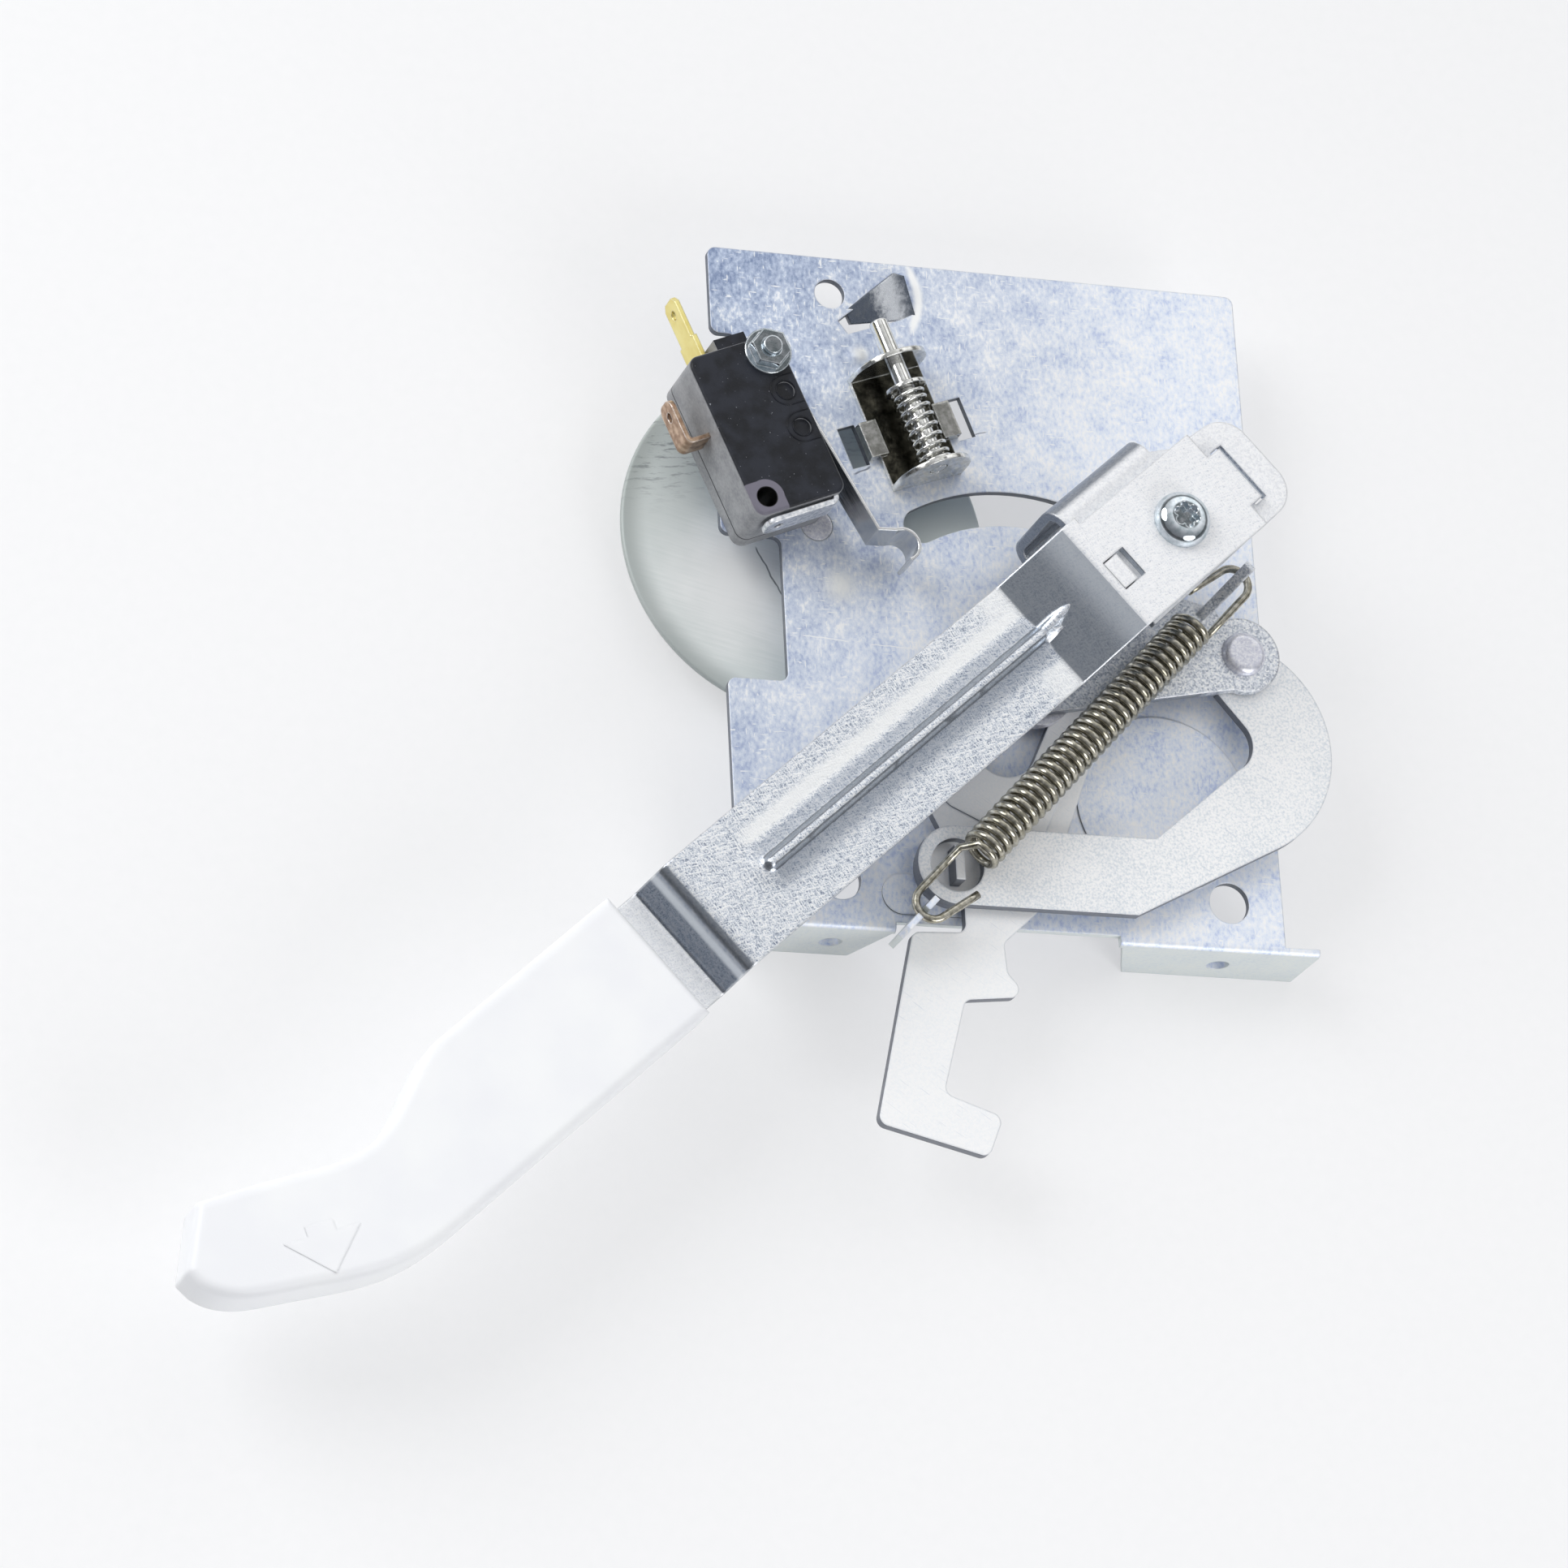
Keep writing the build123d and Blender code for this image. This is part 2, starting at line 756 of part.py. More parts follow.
# Handle: moulded grip with a finger scoop and a raised arrow, pushed over the lever's tail
with BuildPart() as handle:
    with BuildSketch(lever_deck(handle_z)):
        with BuildLine():
            Line((handle_root, handle_left), (handle_straight, handle_left))
            Spline((handle_straight, handle_left), *handle_scoop, tangents=((-1, 0), handle_scoop_exit))
            FilletPolyline(handle_scoop[-1], *handle_nose, radius=handle_nose_r)
            Spline(
                handle_nose[-1],
                *handle_belly,
                (handle_belly_end, handle_right),
                tangents=(handle_belly_entry, (1, 0)),
            )
            Polyline((handle_belly_end, handle_right), (handle_root, handle_right), (handle_root, handle_left))
        make_face()
    extrude(amount=handle_h)
    fillet(handle.faces().sort_by(Axis.Z)[-1].edges(), handle_edge_r)
    with BuildSketch(deck(handle_z + handle_h, **arrow_at)):
        with BuildLine():
            Polyline((-arrow_w / 2, 0), (0, -arrow_l), (arrow_w / 2, 0), close=True)
        make_face()
        Rectangle(arrow_shaft_w, arrow_shaft_l, align=(Align.CENTER, Align.MIN))
    extrude(amount=arrow_h)
    with BuildSketch(lever_deck(tail_z - lever_t / 2 - fit)):
        with Locations((handle_root, lever_offset)):
            Rectangle(2 * (tail_in_handle + fit), lever_w + 2 * fit)
    extrude(amount=lever_t + 2 * fit, mode=Mode.SUBTRACT)
save(handle, "handle")


def wound_profile(plane, start, end, turns, outer_r, wire):
    """Half section of a close wound spring along the plane's x axis, with one ridge for each turn."""
    pitch = (end - start) / turns
    valley_r = outer_r - wire * valley_depth
    with BuildSketch(plane) as profile:
        with BuildLine():
            ridges = []
            for turn in range(turns):
                ridges.append((start + turn * pitch, valley_r))
                ridges.append((start + (turn + 0.5) * pitch, outer_r))
            Polyline(*ridges, (end, valley_r), (end, outer_r - wire), (start, outer_r - wire), close=True)
        make_face()
    return profile.sketch


def end_loop(plane, root, end, side):
    """Open wire loop from the coil's end at root round the lug or finger at end, begun on one side."""
    bend = end + side * loop_r
    with BuildLine(plane) as loop:
        Line((root, side * loop_r), (bend, side * loop_r))
        turn = CenterArc((bend, 0), loop_r, side * 90, 180 - loop_splay)
        Line(turn @ 1, turn @ 1 + turn % 1 * loop_tail)
    return loop.wire()


def loop_start(loop):
    return Plane(origin=loop @ 0, z_dir=loop % 0)


# Main spring between the plate's lug and the crank's finger, with an open loop at each end
anchor = Vector(anchor_x, anchor_y, anchor_z)
finger = Vector(finger_x, finger_y, finger_z)
spring_l = (finger - anchor).length
spring_plane = Plane(
    origin=(anchor_x, pivot_back + anchor_y, plate_top + anchor_z),
    x_dir=finger - anchor,
    z_dir=Vector(0, 0, 1) - (finger - anchor) * ((finger_z - anchor_z) / spring_l ** 2),
)
coil_end = spring_l - upper_loop_l
with BuildPart() as main_spring:
    coils = wound_profile(spring_plane, lower_loop_l, coil_end, spring_turns, spring_r, spring_wire)
    revolve(coils, axis=Axis(spring_plane.origin, spring_plane.x_dir))
    loop = end_loop(spring_plane, lower_loop_l + spring_wire / 2, 0, 1)
    with BuildSketch(loop_start(loop)):
        Circle(spring_wire / 2)
    sweep(path=loop)
save(main_spring, "main_spring")

with BuildPart() as spring_eye:
    loop = end_loop(spring_plane, coil_end, spring_l, -1)
    with BuildSketch(loop_start(loop)):
        Circle(spring_wire / 2)
    sweep(path=loop)
save(spring_eye, "spring_eye")

# Limit switch: base, case with cavity, terminals, plunger, inner blade and a bent strip lever
end_face = switch_l / 2
side_face = switch_w / 2
with BuildPart() as switch_base:
    with BuildSketch(deck(0, **switch_deck_at)):
        RectangleRounded(switch_l, switch_w, switch_corner_r)
        with Locations(nut_at, spare_hole_at):
            Circle(switch_hole_r, mode=Mode.SUBTRACT)
    extrude(amount=switch_base_h)
save(switch_base, "switch_base")

switch_mid = deck(terminal_z, **switch_deck_at)
with BuildPart() as switch_case:
    with BuildSketch(deck(switch_base_h, **switch_deck_at)):
        RectangleRounded(switch_l, switch_w, switch_corner_r)
        with Locations(nut_at, spare_hole_at):
            Circle(switch_hole_r, mode=Mode.SUBTRACT)
    extrude(amount=switch_h - switch_base_h)
    chamfer(switch_case.faces().sort_by(Axis.Z)[-1].outer_wire().edges(), switch_edge)
    with BuildSketch(deck(step_z, **switch_deck_at)):
        with Locations((-end_face, step_side)):
            Rectangle(2 * step_l, step_w)
    extrude(amount=switch_h - switch_edge - step_z)
    with BuildSketch(deck(switch_base_h, **switch_deck_at)):
        Rectangle(cavity_l, cavity_w)
    extrude(amount=cavity_top - switch_base_h, mode=Mode.SUBTRACT)
    with BuildSketch(deck(switch_h, **switch_deck_at)):
        for place in dimple_places:
            with Locations((place, dimple_side)):
                Circle(dimple_r)
    extrude(amount=-dimple_depth, mode=Mode.SUBTRACT)
    with BuildSketch(beside(switch_mid, 0)):
        with Locations((plunger_u, 0)):
            Circle(plunger_r + fit)
    extrude(amount=-switch_w, mode=Mode.SUBTRACT)
save(switch_case, "switch_case")

with BuildPart() as terminal_brass:
    with BuildSketch(beside(switch_mid, brass_side)) as brass_outline:
        with Locations((-end_face, 0)):
            Rectangle(brass_l, terminal_w, align=(Align.MAX, Align.CENTER))
        chamfer(brass_outline.vertices().group_by(Axis.X)[0], terminal_chamfer)
        with Locations((-end_face, 0)):
            Rectangle(brass_shoulder_l, brass_shoulder_w, align=(Align.MAX, Align.CENTER))
        with Locations((terminal_eye - end_face - brass_l, 0)):
            Circle(terminal_hole_r, mode=Mode.SUBTRACT)
    extrude(amount=terminal_t / 2, both=True)
save(terminal_brass, "terminal_brass")

copper_out = -side_face - copper_reach
silver_out = end_face + silver_reach
bent_routes = {
    "terminal_copper": (
        terminal_z,
        (copper_u, -side_face),
        (copper_u, copper_out),
        (copper_u - copper_l, copper_out),
    ),
    "terminal_silver": (
        silver_z,
        (end_face, silver_side),
        (silver_out, silver_side),
        (silver_out, silver_side - silver_l),
    ),
}
for name, (mid_z, *route) in bent_routes.items():
    blade_mid = deck(mid_z, **switch_deck_at)
    tip = Vector(*route[-1])
    back = (Vector(*route[-2]) - tip).normalized()
    with BuildPart() as terminal:
        with BuildSketch(blade_mid):
            with BuildLine():
                FilletPolyline(*route, radius=terminal_t)
            trace(line_width=terminal_t)
        extrude(amount=terminal_w / 2, both=True)
        across_tip = Plane(
            origin=blade_mid.from_local_coords(tip + back * terminal_eye),
            x_dir=blade_mid.x_dir * back.X + blade_mid.y_dir * back.Y,
            z_dir=blade_mid.x_dir * -back.Y + blade_mid.y_dir * back.X,
        )
        through = terminal.edges().filter_by(Axis(across_tip.origin, across_tip.z_dir))
        fillet(through.sort_by_distance(blade_mid.from_local_coords(tip))[:2], terminal_tip_r)
        with BuildSketch(across_tip):
            Circle(terminal_hole_r)
        extrude(amount=terminal_t, both=True, mode=Mode.SUBTRACT)
    save(terminal, name)

strip_root = (strip_hinge_u, side_face + strip_hinge_out)
lever_at_plunger = strip_root[1] + (strip_bend[1] - strip_root[1]) * (plunger_u - strip_root[0]) / (
    strip_bend[0] - strip_root[0])
plunger_tip = lever_at_plunger - switch_lever_t / 2 - slide_fit
with BuildPart() as switch_plunger:
    with BuildSketch(beside(switch_mid, plunger_tip)):
        with Locations((plunger_u, 0)):
            Circle(plunger_r)
    extrude(amount=plunger_l)
save(switch_plunger, "switch_plunger")

with BuildPart() as snap_blade:
    with BuildSketch(deck(switch_base_h, **switch_deck_at)):
        with Locations((0, plunger_tip - plunger_l - plunger_play)):
            Rectangle(cavity_l - 2 * snap_play, snap_t)
    extrude(amount=cavity_top - switch_base_h)
save(snap_blade, "snap_blade")

with BuildPart() as switch_lever:
    with BuildSketch(deck(switch_lever_z, **switch_deck_at)):
        with BuildLine():
            Polyline(strip_root, strip_bend, strip_curl[0])
            ThreePointArc(*strip_curl)
        trace(line_width=switch_lever_t)
        with Locations(strip_root):
            Circle(strip_hinge_r)
    extrude(amount=switch_lever_w)
save(switch_lever, "switch_lever")

with BuildPart() as switch_screw:
    with BuildSketch(deck(-plate_t, **switch_deck_at)):
        with Locations(nut_at):
            Circle(switch_screw_r)
    extrude(amount=plate_t + switch_h + nut_h + switch_screw_proud)
    with BuildSketch(deck(-plate_t, **switch_deck_at)):
        with Locations(nut_at):
            Circle(switch_screw_head_r)
    extrude(amount=-switch_screw_head_h)
save(switch_screw, "switch_screw")

with BuildPart() as switch_nut:
    with BuildSketch(deck(switch_h, **switch_deck_at)):
        with Locations(nut_at):
            RegularPolygon(nut_r, 6)
            Circle(switch_screw_r + fit, mode=Mode.SUBTRACT)
    extrude(amount=nut_h)
    with BuildSketch(deck(switch_h, **switch_deck_at)):
        with Locations(nut_at):
            Circle(nut_r + nut_flange_w)
            Circle(switch_screw_r + fit, mode=Mode.SUBTRACT)
    extrude(amount=nut_flange_h)
save(switch_nut, "switch_nut")

# Lock pin in its clamped bracket, pushed back by a small coil spring behind a clip
pin_deck = deck(pin_z, **pin_deck_at)
with BuildPart() as pin_bracket:
    with BuildSketch(deck(0, **pin_deck_at)):
        with Locations((bracket_l / 2, 0)):
            Rectangle(bracket_l, bracket_w)
    extrude(amount=bracket_t)
    for ear in (0, bracket_l - bracket_t):
        with BuildSketch(across(deck(0, **pin_deck_at), ear)) as ear_outline:
            Rectangle(bracket_w, ear_h, align=(Align.CENTER, Align.MIN))
            fillet(ear_outline.vertices().group_by(Axis.Y)[-1], bracket_w / 2 - fit)
            with Locations((0, pin_z)):
                Circle(pin_r + fit, mode=Mode.SUBTRACT)
        extrude(amount=bracket_t)
    for side in (-1, 1):
        with BuildSketch(deck(0, **pin_deck_at)):
            with Locations((clip_tab_at, side * (clip_reach + clip_tab_t / 2))):
                Rectangle(clip_tab_l, clip_tab_t)
        extrude(amount=bracket_t + clip_tab_h)
        with BuildSketch(deck(bracket_t, **pin_deck_at)):
            with Locations((clip_tab_at, side * clip_reach)):
                Rectangle(clip_tab_l, clip_tab_w)
        extrude(amount=clip_tab_h)
save(pin_bracket, "pin_bracket")

with BuildPart() as lock_pin:
    with BuildSketch(across(pin_deck, 0)):
        Circle(pin_r)
    extrude(amount=pin_l)
    chamfer(lock_pin.edges().filter_by(GeomType.CIRCLE), pin_chamfer)
    with BuildSketch(across(pin_deck, clip_at)):
        Circle(pin_r)
        Circle(pin_r - groove_depth, mode=Mode.SUBTRACT)
    extrude(amount=clip_t, mode=Mode.SUBTRACT)
save(lock_pin, "lock_pin")

with BuildPart() as pin_clip:
    with BuildSketch(across(pin_deck, clip_at + fit)):
        Circle(clip_r)
        Circle(pin_r - groove_depth + fit, mode=Mode.SUBTRACT)
        with Locations((0, -clip_r)):
            Rectangle(2 * (pin_r - groove_depth), 2 * clip_r, mode=Mode.SUBTRACT)
    extrude(amount=clip_t - 2 * fit)
save(pin_clip, "pin_clip")

with BuildPart() as pin_spring:
    coils = wound_profile(pin_deck, bracket_t, clip_at + fit, pin_turns, pin_spring_r, pin_wire)
    revolve(coils, axis=Axis(pin_deck.origin, pin_deck.x_dir))
save(pin_spring, "pin_spring")
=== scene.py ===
import json
import math

import bpy
from mathutils import Matrix, Vector

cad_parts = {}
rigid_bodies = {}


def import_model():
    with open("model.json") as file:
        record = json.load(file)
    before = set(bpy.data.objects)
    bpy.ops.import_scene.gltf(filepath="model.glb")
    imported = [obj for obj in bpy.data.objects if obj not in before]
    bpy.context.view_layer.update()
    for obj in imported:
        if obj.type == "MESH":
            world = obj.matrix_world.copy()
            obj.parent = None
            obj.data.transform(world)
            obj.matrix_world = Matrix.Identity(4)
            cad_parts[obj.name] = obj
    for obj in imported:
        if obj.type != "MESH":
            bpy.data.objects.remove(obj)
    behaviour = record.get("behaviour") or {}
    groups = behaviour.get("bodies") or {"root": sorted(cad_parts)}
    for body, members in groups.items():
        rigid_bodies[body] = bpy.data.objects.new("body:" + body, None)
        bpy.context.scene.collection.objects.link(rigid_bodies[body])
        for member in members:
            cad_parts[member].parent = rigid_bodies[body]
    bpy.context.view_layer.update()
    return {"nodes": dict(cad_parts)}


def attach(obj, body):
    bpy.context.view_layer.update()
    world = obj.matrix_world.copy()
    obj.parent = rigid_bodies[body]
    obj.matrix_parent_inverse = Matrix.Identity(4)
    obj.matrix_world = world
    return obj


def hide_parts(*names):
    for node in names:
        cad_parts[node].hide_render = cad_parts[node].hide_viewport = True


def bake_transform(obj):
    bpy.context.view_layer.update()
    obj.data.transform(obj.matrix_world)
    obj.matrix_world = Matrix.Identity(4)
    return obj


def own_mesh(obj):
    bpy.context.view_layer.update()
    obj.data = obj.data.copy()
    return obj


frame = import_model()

for leftover in [thing for thing in bpy.data.objects if thing.name in ("Cube", "Light", "Camera")]:
    bpy.data.objects.remove(leftover)


# Base plate and spring lug. One stamped and folded sheet of hot-dip galvanised steel, blue-grey with
# white and dark spangle flecks. The front edge is folded down into two screw flanges, and a notched
# lug stands at that edge for the main spring.
class Tone:
    """One shader socket. Arithmetic on tones adds the Math nodes that it needs."""

    def __init__(self, tree, socket=None):
        self.tree = tree
        self.socket = socket

    def node(self, kind, settings=None, sockets=None, out=0):
        made = self.tree.nodes.new(kind)
        for name, value in (settings or {}).items():
            if name == "stops":
                ramp = made.color_ramp.elements
                while len(ramp) < len(value):
                    ramp.new(0.5)
                for element, (place, colour) in zip(ramp, value):
                    element.position = place
                    element.color = colour
            else:
                setattr(made, name, value)
        for name, value in (sockets or {}).items():
            if isinstance(value, Tone):
                self.tree.links.new(value.socket, made.inputs[name])
            else:
                made.inputs[name].default_value = value
        return Tone(self.tree, made.outputs[out] if made.outputs else None)

    def math(self, operation, *values):
        return self.node("ShaderNodeMath", {"operation": operation}, dict(enumerate(values)))

    def __add__(self, other):
        return self.math("ADD", self, other)

    def __sub__(self, other):
        return self.math("SUBTRACT", self, other)

    def __rsub__(self, other):
        return self.math("SUBTRACT", other, self)

    def __mul__(self, other):
        return self.math("MULTIPLY", self, other)

    def __abs__(self):
        return self.math("ABSOLUTE", self)

    __radd__ = __add__

    def most(self, other):
        return self.math("MAXIMUM", self, other)

    def rise(self, low, high):
        """0 below low, 1 above high, smooth between them. High may be the smaller of the two."""
        return self.node("ShaderNodeMapRange", {"interpolation_type": "SMOOTHSTEP"},
                         {"Value": self, "From Min": low, "From Max": high})

    def between(self, first, second):
        """The first colour where this tone is 0 and the second where it is 1."""
        return self.node("ShaderNodeMix", {"data_type": "RGBA"}, {0: self, 6: first, 7: second}, out=2)

    def along(self, direction):
        """How far a point lies along a direction."""
        return self.node("ShaderNodeVectorMath", {"operation": "DOT_PRODUCT"}, {0: self, 1: direction}, out=1)

    def level(self):
        """How high a point lies."""
        return self.along((0.0, 0.0, 1.0))

    def less(self, point):
        return self.node("ShaderNodeVectorMath", {"operation": "SUBTRACT"}, {0: self, 1: point})

    def times(self, factors):
        return self.node("ShaderNodeVectorMath", {"operation": "MULTIPLY"}, {0: self, 1: factors})

    def plan_from(self, x, y):
        """The way to this point, seen from above, from the spot at x and y."""
        return self.less((x, y, 0.0)).times((1.0, 1.0, 0.0))

    def turned(self, degrees):
        """The point turned about the upright axis."""
        return self.node("ShaderNodeVectorRotate", {"rotation_type": "Z_AXIS"},
                         {"Vector": self, "Angle": math.radians(degrees)})

    def length(self):
        return self.node("ShaderNodeVectorMath", {"operation": "LENGTH"}, {0: self}, out=1)

    def ramp(self, *stops):
        """A colour for each value of this tone, blended between stops of value and colour."""
        return self.node("ShaderNodeValToRGB", {"stops": stops}, {"Fac": self})

    def grain(self, scale, detail=2.0, rough=0.5):
        """Cloudy noise from 0 to 1 with this many blobs per millimetre."""
        return self.node("ShaderNodeTexNoise", None,
                         {"Vector": self, "Scale": scale, "Detail": detail, "Roughness": rough})

    def cells(self, scale):
        """A random grey for each crystal, with this many crystals per millimetre."""
        colour = self.node("ShaderNodeTexVoronoi", None, {"Vector": self, "Scale": scale}, out=1)
        return colour.node("ShaderNodeSeparateColor", None, {0: colour})


def ink(red, green, blue):
    """A colour read off in 0 to 255 steps, as the shader's linear light."""
    steps = [value / 255 for value in (red, green, blue)]
    return tuple(s / 12.92 if s <= 0.04045 else ((s + 0.055) / 1.055) ** 2.4 for s in steps) + (1.0,)


def new_finish(name):
    """An empty material, and the place of a point in millimetres in the latch's own frame."""
    material = bpy.data.materials.new(name)
    material.use_nodes = True
    material.node_tree.nodes.clear()
    blank = Tone(material.node_tree)
    metres = blank.node("ShaderNodeTexCoord", out="Object")
    return material, metres.times((1000.0, 1000.0, 1000.0))


def facing(place):
    """Upright part of the surface's own direction: 1 on a top face, 0 on a cut edge."""
    normal = place.node("ShaderNodeNewGeometry", out="Normal")
    normal = normal.node("ShaderNodeVectorTransform",
                         {"convert_from": "WORLD", "convert_to": "OBJECT"}, {0: normal})
    return normal.level()


def edge_and_rounding(place, reach):
    """1 on a sharp edge, falling to 0 within reach metres of it, and the rounded normal itself."""
    rounded = place.node("ShaderNodeBevel", {"samples": 6}, {"Radius": reach})
    normal = place.node("ShaderNodeNewGeometry", out="Normal")
    return (1 - rounded.along(normal)).rise(0.01, 0.22), rounded


def coat(place, colour, roughness, metallic, height=None, depth=0.0, normal=None, fixed=None):
    """Closes a material: the principled shader with its bump, and the output."""
    sockets = {"Base Color": colour, "Roughness": roughness, "Metallic": metallic}
    sockets.update(fixed or {})
    if height is not None:
        bump = {"Height": height, "Strength": 1.0, "Distance": depth}
        if normal is not None:
            bump["Normal"] = normal
        sockets["Normal"] = place.node("ShaderNodeBump", None, bump)
    elif normal is not None:
        sockets["Normal"] = normal
    shader = place.node("ShaderNodeBsdfPrincipled", None, sockets)
    place.node("ShaderNodeOutputMaterial", None, {"Surface": shader})


def dress(material, *names):
    for name in names:
        frame["nodes"][name].data.materials.clear()
        frame["nodes"][name].data.materials.append(material)


def scored(place, start, end, width):
    """1 on a thin scratch from start to end, in millimetres seen from above, and 0 elsewhere."""
    run = Vector((end[0] - start[0], end[1] - start[1], 0.0))
    here = place.less((start[0], start[1], 0.0))
    along = here.along(run.normalized())
    wobble = (here.grain(0.5, 1.0) - 0.5) * width * 3
    off = abs(here.along(Vector((-run.y, run.x, 0.0)).normalized()) + wobble)
    fade = 0.8
    ends = along.rise(0.0, fade) * along.rise(run.length, run.length - fade)
    return ends * off.rise(width, width * 0.3)


galvanised, place = new_finish("galvanised")
cloud = place.grain(0.2, 3.0)
speck = place.times((1.0, 0.65, 1.0)).grain(1.5, 3.0, 0.65)
tone = cloud * 0.4 + speck * 0.62
# Two ramps of the plate's tones: darker and bluer towards the back left, paler towards the front right.
darker_ramp = tone.ramp((0.36, ink(122, 139, 174)), (0.46, ink(158, 173, 202)),
                 (0.56, ink(190, 203, 226)), (0.66, ink(244, 248, 254)))
paler_ramp = tone.ramp((0.36, ink(202, 214, 242)), (0.46, ink(230, 238, 252)),
                  (0.56, ink(244, 248, 255)), (0.66, ink(255, 255, 255)))
paler_to_front_right = (place.along((1.0, -0.55, 0.0)) + cloud * 16.0).rise(-112.0, -14.0)
colour = paler_to_front_right.between(darker_ramp, paler_ramp)
dash = place.times((0.3, 1.7, 1.0)).grain(1.5, 1.0)
dash = dash.most(place.times((1.7, 0.3, 1.0)).grain(1.5, 1.0)).rise(0.68, 0.74)
colour = (dash * 0.8).between(colour, ink(253, 254, 255))
scratch = scored(place, (-36.4, 47.8), (-28.3, 47.3), width=0.14)
scratch = scratch.most(scored(place, (-25.3, 47.1), (-17.6, 46.9), width=0.12))
colour = (scratch * 0.9).between(colour, ink(252, 253, 255))
gouge = scored(place, (-8.3, 83.6), (-3.1, 85.2), width=0.12)
gouge = gouge.most(scored(place, (-26.4, 75.7), (-22.9, 77.4), width=0.22))
colour = (gouge * 0.75).between(colour, ink(84, 92, 112))
edge, rounded = edge_and_rounding(place, 0.0004)
# Edges painted lighter: partly wear, partly a painted highlight where they catch light.
colour = (edge * 0.6).between(colour, ink(246, 248, 253))
upright = abs(facing(place)).rise(0.6, 0.3)
from_fold = place.along((0.0, 1.0, 0.0))
# Painted shade: the upright cut faces behind the front fold are painted dark.
side = upright * from_fold.rise(1.6, 2.4)
colour = (side * 0.85).between(colour, ink(82, 86, 94))
louver_r = 9.0
from_louver = place.plan_from(-22.5, 107.3)
louver = from_louver.length().rise(louver_r + 0.6, louver_r) * facing(place).rise(0.985, 0.955) * (1 - side)
# Painted light and shade on the louver tab: a bright band across its middle, dark to either side.
louver_painted_light_and_shade = abs(from_louver.along((0.94, 0.35, 0.0)) - 3.4 + (tone - 0.5) * 6.0).rise(3.2, 0.4)
colour = (louver * 0.9).between(colour, louver_painted_light_and_shade.between(ink(84, 92, 104), ink(240, 243, 247)))
# Painted highlight: a white flare along the louver's bend.
louver_painted_flare = abs(from_louver.length() - louver_r).rise(1.2, 0.2)
louver_painted_flare = louver_painted_flare * place.along((1.0, 0.0, 0.0)).rise(-15.8, -14.6) * (1 - louver)
colour = louver_painted_flare.between(colour, ink(254, 255, 255))
# Painted highlights: pale spots on two shallow domes in the plate.
dome_painted_highlight = place.plan_from(-24.0, 96.7).length().rise(2.3, 0.3)
dome_painted_highlight = dome_painted_highlight.most(place.plan_from(-29.6, 56.6).length().rise(4.2, 0.4))
colour = (dome_painted_highlight * 0.8).between(colour, ink(254, 254, 250))
flange = upright * from_fold.rise(2.4, 1.6)
colour = (flange * 0.75).between(colour, ink(222, 228, 224))
coat(place, colour, roughness=0.4 + tone * 0.14 - louver * 0.2, metallic=0.35 + louver * 0.4,
     height=tone, depth=0.00007, normal=rounded)
dress(galvanised, "base_plate", "spring_lug")


# Heat shield disc. A round blank of bright drawn steel, grey-green with fine drawing lines and
# darker scuffs at the back, riveted to a short turned stud under the plate. A broad painted
# highlight, painted shade on its left and front rim and a painted dark line on a crease stand in for light.
disc_steel, place = new_finish("disc_steel")
from_middle = place.plan_from(-32.8, 66.6)
drawn = from_middle.turned(14).times((0.06, 1.3, 1.0)).grain(1.6, 4.0, 0.6)
# Painted highlight: a broad bright patch on the disc, fading out from one spot.
from_highlight_spot = from_middle.less((-11.0, -8.0, 0.0)).length()
highlight_falloff = from_highlight_spot + from_middle.grain(0.12, 2.0) * 9.0 + (drawn - 0.5) * 8.0
disc_painted_highlight = highlight_falloff.rise(24.0, 6.0)
colour = disc_painted_highlight.between(ink(218, 225, 223), ink(254, 255, 254))
scuff = from_middle.turned(-6).times((0.3, 1.5, 1.0)).grain(0.9, 3.0, 0.7).rise(0.5, 0.68)
scuff = scuff * from_middle.along((-0.3, 1.0, 0.0)).rise(8.0, 22.0)
colour = (scuff * 0.7).between(colour, ink(96, 102, 112))
# Painted shade: the left and front rim painted darker.
rim_painted_shade = from_middle.length().rise(25.5, 29.6) * from_middle.along((-1.0, -0.5, 0.0)).rise(2.0, 22.0)
colour = (rim_painted_shade * 0.5).between(colour, ink(120, 128, 126))
# Painted shade: a dark line along a crease in the disc.
crease_painted_shade = scored(place, (-41.1, 64.9), (-36.7, 56.2), width=0.2)
colour = (crease_painted_shade * 0.8).between(colour, ink(88, 94, 96))
edge, rounded = edge_and_rounding(place, 0.0004)
# Edges painted lighter: partly wear, partly a painted highlight where they catch light.
colour = (edge * 0.7).between(colour, ink(240, 243, 240))
coat(place, colour, roughness=0.4 + drawn * 0.1, metallic=0.15, height=drawn, depth=0.000006, normal=rounded)
dress(disc_steel, "heat_disc")


# Turned steel pieces. The disc's stud, the pivot post, the guide bush and the crank's rivet are cut on
# a lathe, so rings from the tool still show. The lever's pan-head screw and the switch's screw and
# flanged nut have a brighter, mirror-like plating.
turned_steel, place = new_finish("turned_steel")
speck = place.grain(2.2, 3.0, 0.6)
ring = place.times((1.0, 1.0, 0.35)).grain(4.0, 1.0)
colour = (speck * 0.7 + ring * 0.3).rise(0.3, 0.72).between(ink(205, 207, 222), ink(250, 250, 254))
edge, rounded = edge_and_rounding(place, 0.0004)
# Edges painted lighter: partly wear, partly a painted highlight where they catch light.
colour = (edge * 0.5).between(colour, ink(250, 250, 253))
coat(place, colour, roughness=0.26 + speck * 0.14, metallic=0.6, height=ring, depth=0.00002, normal=rounded)
dress(turned_steel, "disc_stud", "pivot_post", "guide_bush", "crank_rivet")

